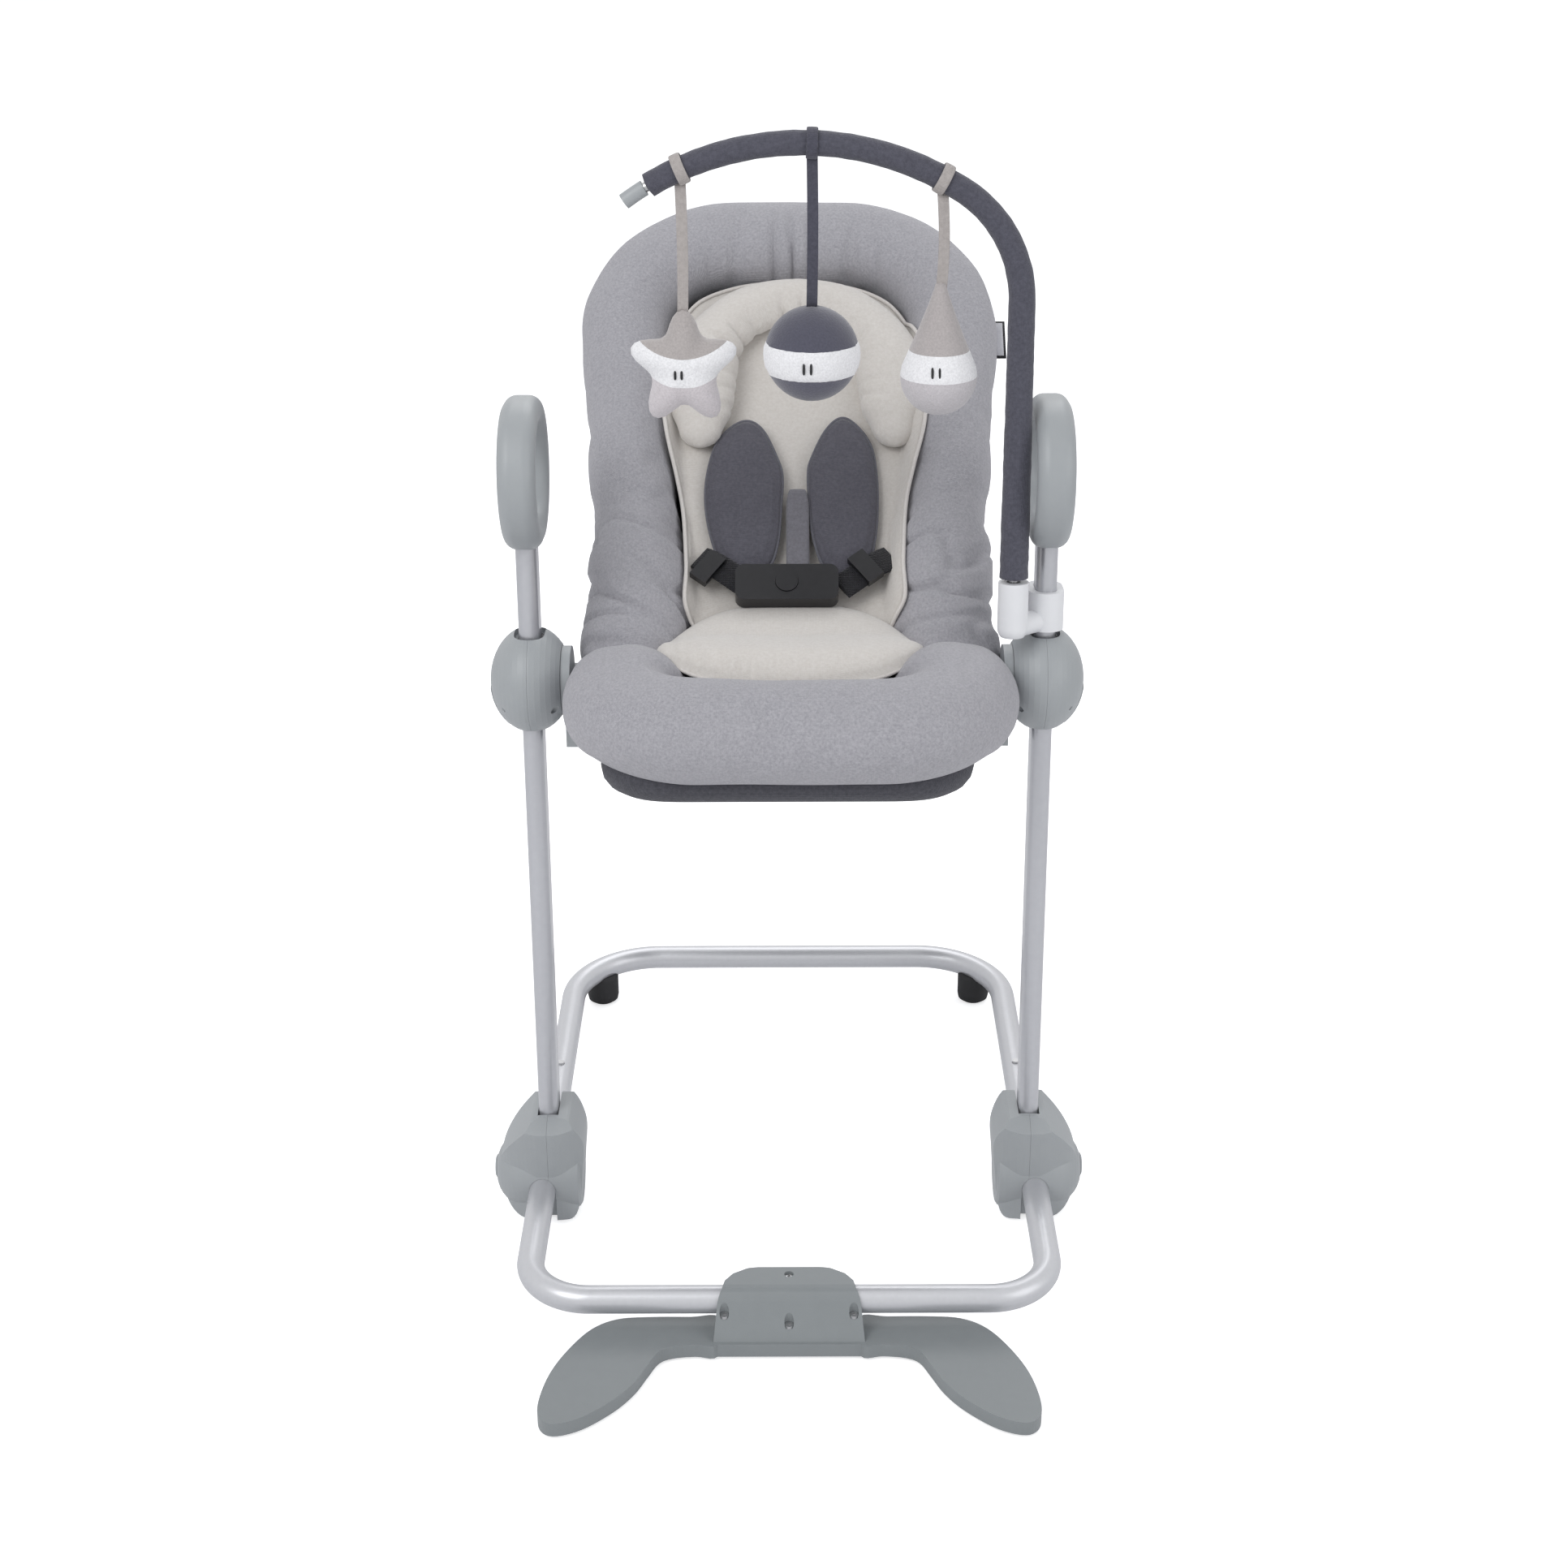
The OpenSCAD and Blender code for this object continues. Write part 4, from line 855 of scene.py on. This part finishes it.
def arch_point(d):
    """A point on the arch's centre line, d metres up from the socket's floor, with its outward side."""
    if d < ARCH_H:
        flat, out = (0, d), (1, 0)
    else:
        a = min((d - ARCH_H) / ARCH_R1, ARCH_TURN)
        flat = (-ARCH_R1 + ARCH_R1 * math.cos(a), ARCH_H + ARCH_R1 * math.sin(a))
        out = (math.cos(a), math.sin(a))
        rest = d - ARCH_H - ARCH_R1 * ARCH_TURN
        if rest > 0:
            straight = min(rest, ARCH_MID)
            flat = (flat[0] - straight * math.sin(a), flat[1] + straight * math.cos(a))
            a2 = a + (rest - straight) / ARCH_R2
            middle = (flat[0] - ARCH_R2 * math.cos(a), flat[1] - ARCH_R2 * math.sin(a))
            flat = (middle[0] + ARCH_R2 * math.cos(a2), middle[1] + ARCH_R2 * math.sin(a2))
            out = (math.cos(a2), math.sin(a2))
    return arch_foot + Vector((flat[0], 0, 0)) + arch_up * flat[1], Vector((out[0], 0, 0)) + arch_up * out[1]


arch_length = ARCH_H + ARCH_R1 * ARCH_TURN + ARCH_MID + ARCH_R2 * (ARCH_END - ARCH_TURN)
arch_back = Vector((1, 0, 0)).cross(arch_up)


def sleeve_line(s):
    d = SLEEVE_LOW + (s + 1) / 2 * (arch_length - SLEEVE_LOW)
    middle, out = arch_point(d)
    return middle, out, arch_back


def sleeve_radius(s):
    k = (s + 1) / 2
    full = steps(k, [(0.0, 0.0122), (0.35, 0.0112), (0.6, 0.0102), (1.0, 0.0098)])
    wrinkle = 0.0004 * noise.noise(Vector((k * 70, 0.3, 0.1)))
    end = min(1, (1 - abs(s)) / 0.008)
    return (full + wrinkle) * math.sqrt(max(0, 1 - (1 - end) ** 2)) + 0.00001


arch_sleeve = open_roll("arch_sleeve_cloth", sleeve_line, sleeve_radius, sides=20, rings=240)
wear(arch_sleeve, slate_cloth, "arch", ["arch_sleeve"])

# ---------------------------------------------------------------------------
# Hanging toys: a star, a ball and a drop in short plush, each with a white
# terry band and two stitches for eyes, on flat ribbons sewn to the sleeve.
# ---------------------------------------------------------------------------


PILE = 0.0016          # size of a tuft


def plush(name, top, band, low, band_low, band_high, curve, centre):
    """Short plush in three zones by height: top colour, a band and a lower colour.
    The band's edges rise by curve times the square of the way across."""
    made = bpy.data.materials.new(name)
    made.use_nodes = True
    tree = made.node_tree
    tree.nodes.clear()
    at = add_node(tree, "ShaderNodeTexCoord").outputs["Object"]
    local = add_node(tree, "ShaderNodeVectorMath", {0: at, 1: centre}, operation="SUBTRACT").outputs[0]
    parts = add_node(tree, "ShaderNodeSeparateXYZ", {0: local})

    def sum_of(first, operation, second):
        return add_node(tree, "ShaderNodeMath", {0: first, 1: second}, operation=operation).outputs[0]

    square = sum_of(parts.outputs["X"], "MULTIPLY", parts.outputs["X"])
    height = sum_of(parts.outputs["Z"], "SUBTRACT", sum_of(square, "MULTIPLY", curve))
    over = sum_of(height, "GREATER_THAN", band_high)
    under = sum_of(height, "LESS_THAN", band_low)
    first = two_tone(tree, over, band, top)
    second = two_tone(tree, under, band, low)
    tree.links.new(first.outputs[MIX_OUT], second.inputs[MIX_A])
    pile = add_node(tree, "ShaderNodeTexNoise",
                    {"Vector": at, "Scale": 1 / PILE, "Detail": 3.0}).outputs["Fac"]
    shade = add_node(tree, "ShaderNodeMapRange",
                     {"Value": pile, "From Min": 0.3, "From Max": 0.7, "To Min": 0.86,
                      "To Max": 1.06}).outputs[0]
    tinted = add_node(tree, "ShaderNodeVectorMath",
                      {0: second.outputs[MIX_OUT], "Scale": shade}, operation="SCALE").outputs[0]
    rise = add_node(tree, "ShaderNodeBump", {"Height": pile, "Strength": 0.5, "Distance": 0.0009})
    shader = add_node(tree, "ShaderNodeBsdfPrincipled",
                      {"Base Color": tinted, "Normal": rise.outputs[0], "Roughness": 0.95,
                       "Sheen Weight": 0.5, "Specular IOR Level": 0.2})
    add_node(tree, "ShaderNodeOutputMaterial", {"Surface": shader.outputs[0]})
    return made


def shaped_ball(name, centre, shape, segments=48, rings=40):
    """A round stuffed body: shape(direction) gives the point for each direction of a sphere."""
    bpy.ops.object.select_all(action="DESELECT")
    bpy.ops.mesh.primitive_uv_sphere_add(segments=segments, ring_count=rings, radius=1,
                                         rotation=(math.pi / 2, 0, 0))
    made = bpy.context.object
    made.name = name
    bpy.ops.object.transform_apply(rotation=True)
    for v in made.data.vertices:
        v.co = Vector(centre) + shape(v.co.normalized())
    bpy.ops.object.shade_smooth()
    return made


def box_middle(node):
    low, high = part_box(node)
    return (low + high) / 2


star_low, star_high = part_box("toy_star")
star_middle = Vector(((star_low.x + star_high.x) / 2, (star_low.y + star_high.y) / 2, star_high.z - 0.046))
ball_middle = box_middle("toy_ball")
drop_low, drop_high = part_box("toy_drop")
drop_middle = Vector(((drop_low.x + drop_high.x) / 2, (drop_low.y + drop_high.y) / 2, drop_low.z + 0.032))


BALL_R = 0.0392
BAND_PROUD = 0.0012
DROP_R = 0.032
DROP_NECK = 0.3


def star_shape(d):
    """Five soft points, thinner towards their tips, the lower ones longer."""
    a = math.atan2(d.x, d.z)
    near = (a / math.tau * 5 + 0.5) % 1 - 0.5
    tip = math.cos(near * math.pi) ** 2
    reach = 0.0285 + 0.0175 * tip ** 1.25
    flat = math.hypot(d.x, d.z)
    depth = 0.0185 * (1 - 0.45 * flat ** 3 * tip)
    down = 1.18 if d.z < 0 else 1.0
    reach *= flat ** 0.85
    return Vector((reach * math.sin(a), d.y * depth, reach * math.cos(a) * down))


def ball_shape(d):
    """A ball whose terry band stands a little proud."""
    return d * (BALL_R + (BAND_PROUD if -0.366 < d.z < 0.244 else 0))


def drop_shape(d):
    """A ball below DROP_NECK of its radius, and above it a cone up into the ribbon."""
    if d.z <= DROP_NECK:
        return d * DROP_R
    k = (d.z - DROP_NECK) / (1 - DROP_NECK)
    wide = DROP_R * math.sqrt(1 - DROP_NECK ** 2) * (1 - k) ** 1.12 + 0.004 * k
    around = max(math.hypot(d.x, d.y), 1e-6)
    tall = drop_high.z + 0.010 - drop_middle.z - DROP_NECK * DROP_R
    return Vector((d.x / around * wide, d.y / around * wide, DROP_NECK * DROP_R + k * tall))


# Short plush with a white terry band: taupe star and drop, slate ball.
star_plush = plush("star_plush", "#b3adab", "#f1f1f3", "#d3cdd0", -0.0155, 0.0085, 9.0, tuple(star_middle))
ball_plush = plush("ball_plush", "#565663", "#f1f1f3", "#5d5d6b", -0.015, 0.010, 0.0, tuple(ball_middle))
drop_plush = plush("drop_plush", "#b5afae", "#f1f1f3", "#c9c5c8", 0.001, 0.0225, 0.0, tuple(drop_middle))

star = shaped_ball("plush_star", star_middle, star_shape, segments=60, rings=36)
wear(star, star_plush, "hanging_star", ["toy_star"])
ball = shaped_ball("plush_ball", ball_middle, ball_shape)
wear(ball, ball_plush, "hanging_ball", ["toy_ball"])
drop = shaped_ball("plush_drop", drop_middle, drop_shape)
wear(drop, drop_plush, "hanging_drop", ["toy_drop"])

THREAD_R = 0.0011
# Black polyester embroidery thread.
thread = finish("black_thread", "#17171a", "#26262a", 0.001, 0.7, 0.0006, 0.3)


def stitch(name, low, high, body):
    """One eye stitch: a short thick loop of black thread."""

    def line(s):
        middle = low.lerp(high, (s + 1) / 2)
        return middle + Vector((0, -0.0006 * (1 - s * s), 0)), Vector((1, 0, 0)), Vector((0, -1, 0))

    def radius(s):
        return THREAD_R * math.sqrt(max(0, 1 - abs(s) ** 4)) + 0.00001
    made = open_roll(name, line, radius, sides=10, rings=16)
    wear(made, thread, body)


for toy, body, middle, front, spread, z_low, z_high in (
        ("star", "hanging_star", star_middle, 0.0182, 0.0027, -0.0085, -0.0005),
        ("ball", "hanging_ball", ball_middle, 0.0404, 0.0030, -0.0085, 0.0015),
        ("drop", "hanging_drop", drop_middle, 0.0313, 0.0030, 0.0055, 0.0145)):
    for side, name in ((-1, "left"), (1, "right")):
        ends = []
        for z in (z_low, z_high):
            y = -front if toy == "star" else -math.sqrt(max(0, front ** 2 - z ** 2))
            ends.append(middle + Vector((side * spread - 0.004, y, z)))
        stitch(f"{toy}_eye_{name}", ends[0], ends[1], body)

# Flat woven ribbon in the toys' colours.
taupe_ribbon = cloth_finish("taupe_ribbon", "#a8a29f", "#b6b0ad", 0.0010, 0.0030, 0.8, 0.4, 0.2)
slate_ribbon = cloth_finish("slate_ribbon", "#464651", "#52525e", 0.0010, 0.0030, 0.8, 0.4, 0.2)
LOOP_R = 0.0118        # over the sleeve


def loop_section(t, a):
    """Flat ribbon with soft edges."""
    return 0.0009 * math.cos(a), 0.0046 * math.copysign(abs(math.sin(a)) ** 0.5, math.sin(a))


for node, material, body, slot, bow in (
        ("ribbon_left", taupe_ribbon, "hanging_star", "beige_cloth", 0.0008),
        ("ribbon_middle", slate_ribbon, "hanging_ball", "slate_cloth", 0.0006),
        ("ribbon_right", taupe_ribbon, "hanging_drop", "beige_cloth", 0.002)):
    low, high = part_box(node)

    def ribbon_place(a, b, c):
        middle = (low + high) / 2
        k = (b + 1) / 2
        z = low.z - 0.003 + k * (high.z - low.z + 0.007)
        x = middle.x + a * (high.x - low.x) / 2 + bow * math.sin(k * math.pi)
        return Vector((x, middle.y + c * 0.0009, z))
    ribbon = block(f"{node}_cloth", 16, ribbon_place)
    wear(ribbon, material, body, [node])

    # the loop sewn round the sleeve, from which the ribbon hangs
    hang_x = (low.x + high.x) / 2 - arch_foot.x
    d = min((k * arch_length / 400 for k in range(240, 400)),
            key=lambda far: abs((arch_point(far)[0] - arch_foot).x - hang_x))

    def loop_centre(t):
        middle, out = arch_point(d)
        side = out * math.cos(t * math.tau) + arch_back * math.sin(t * math.tau)
        return middle + side * LOOP_R, side, out.cross(arch_back)

    loop = closed_tube(f"{node}_loop", loop_centre, loop_section, around=48, sides=12)
    wear(loop, material, "arch")
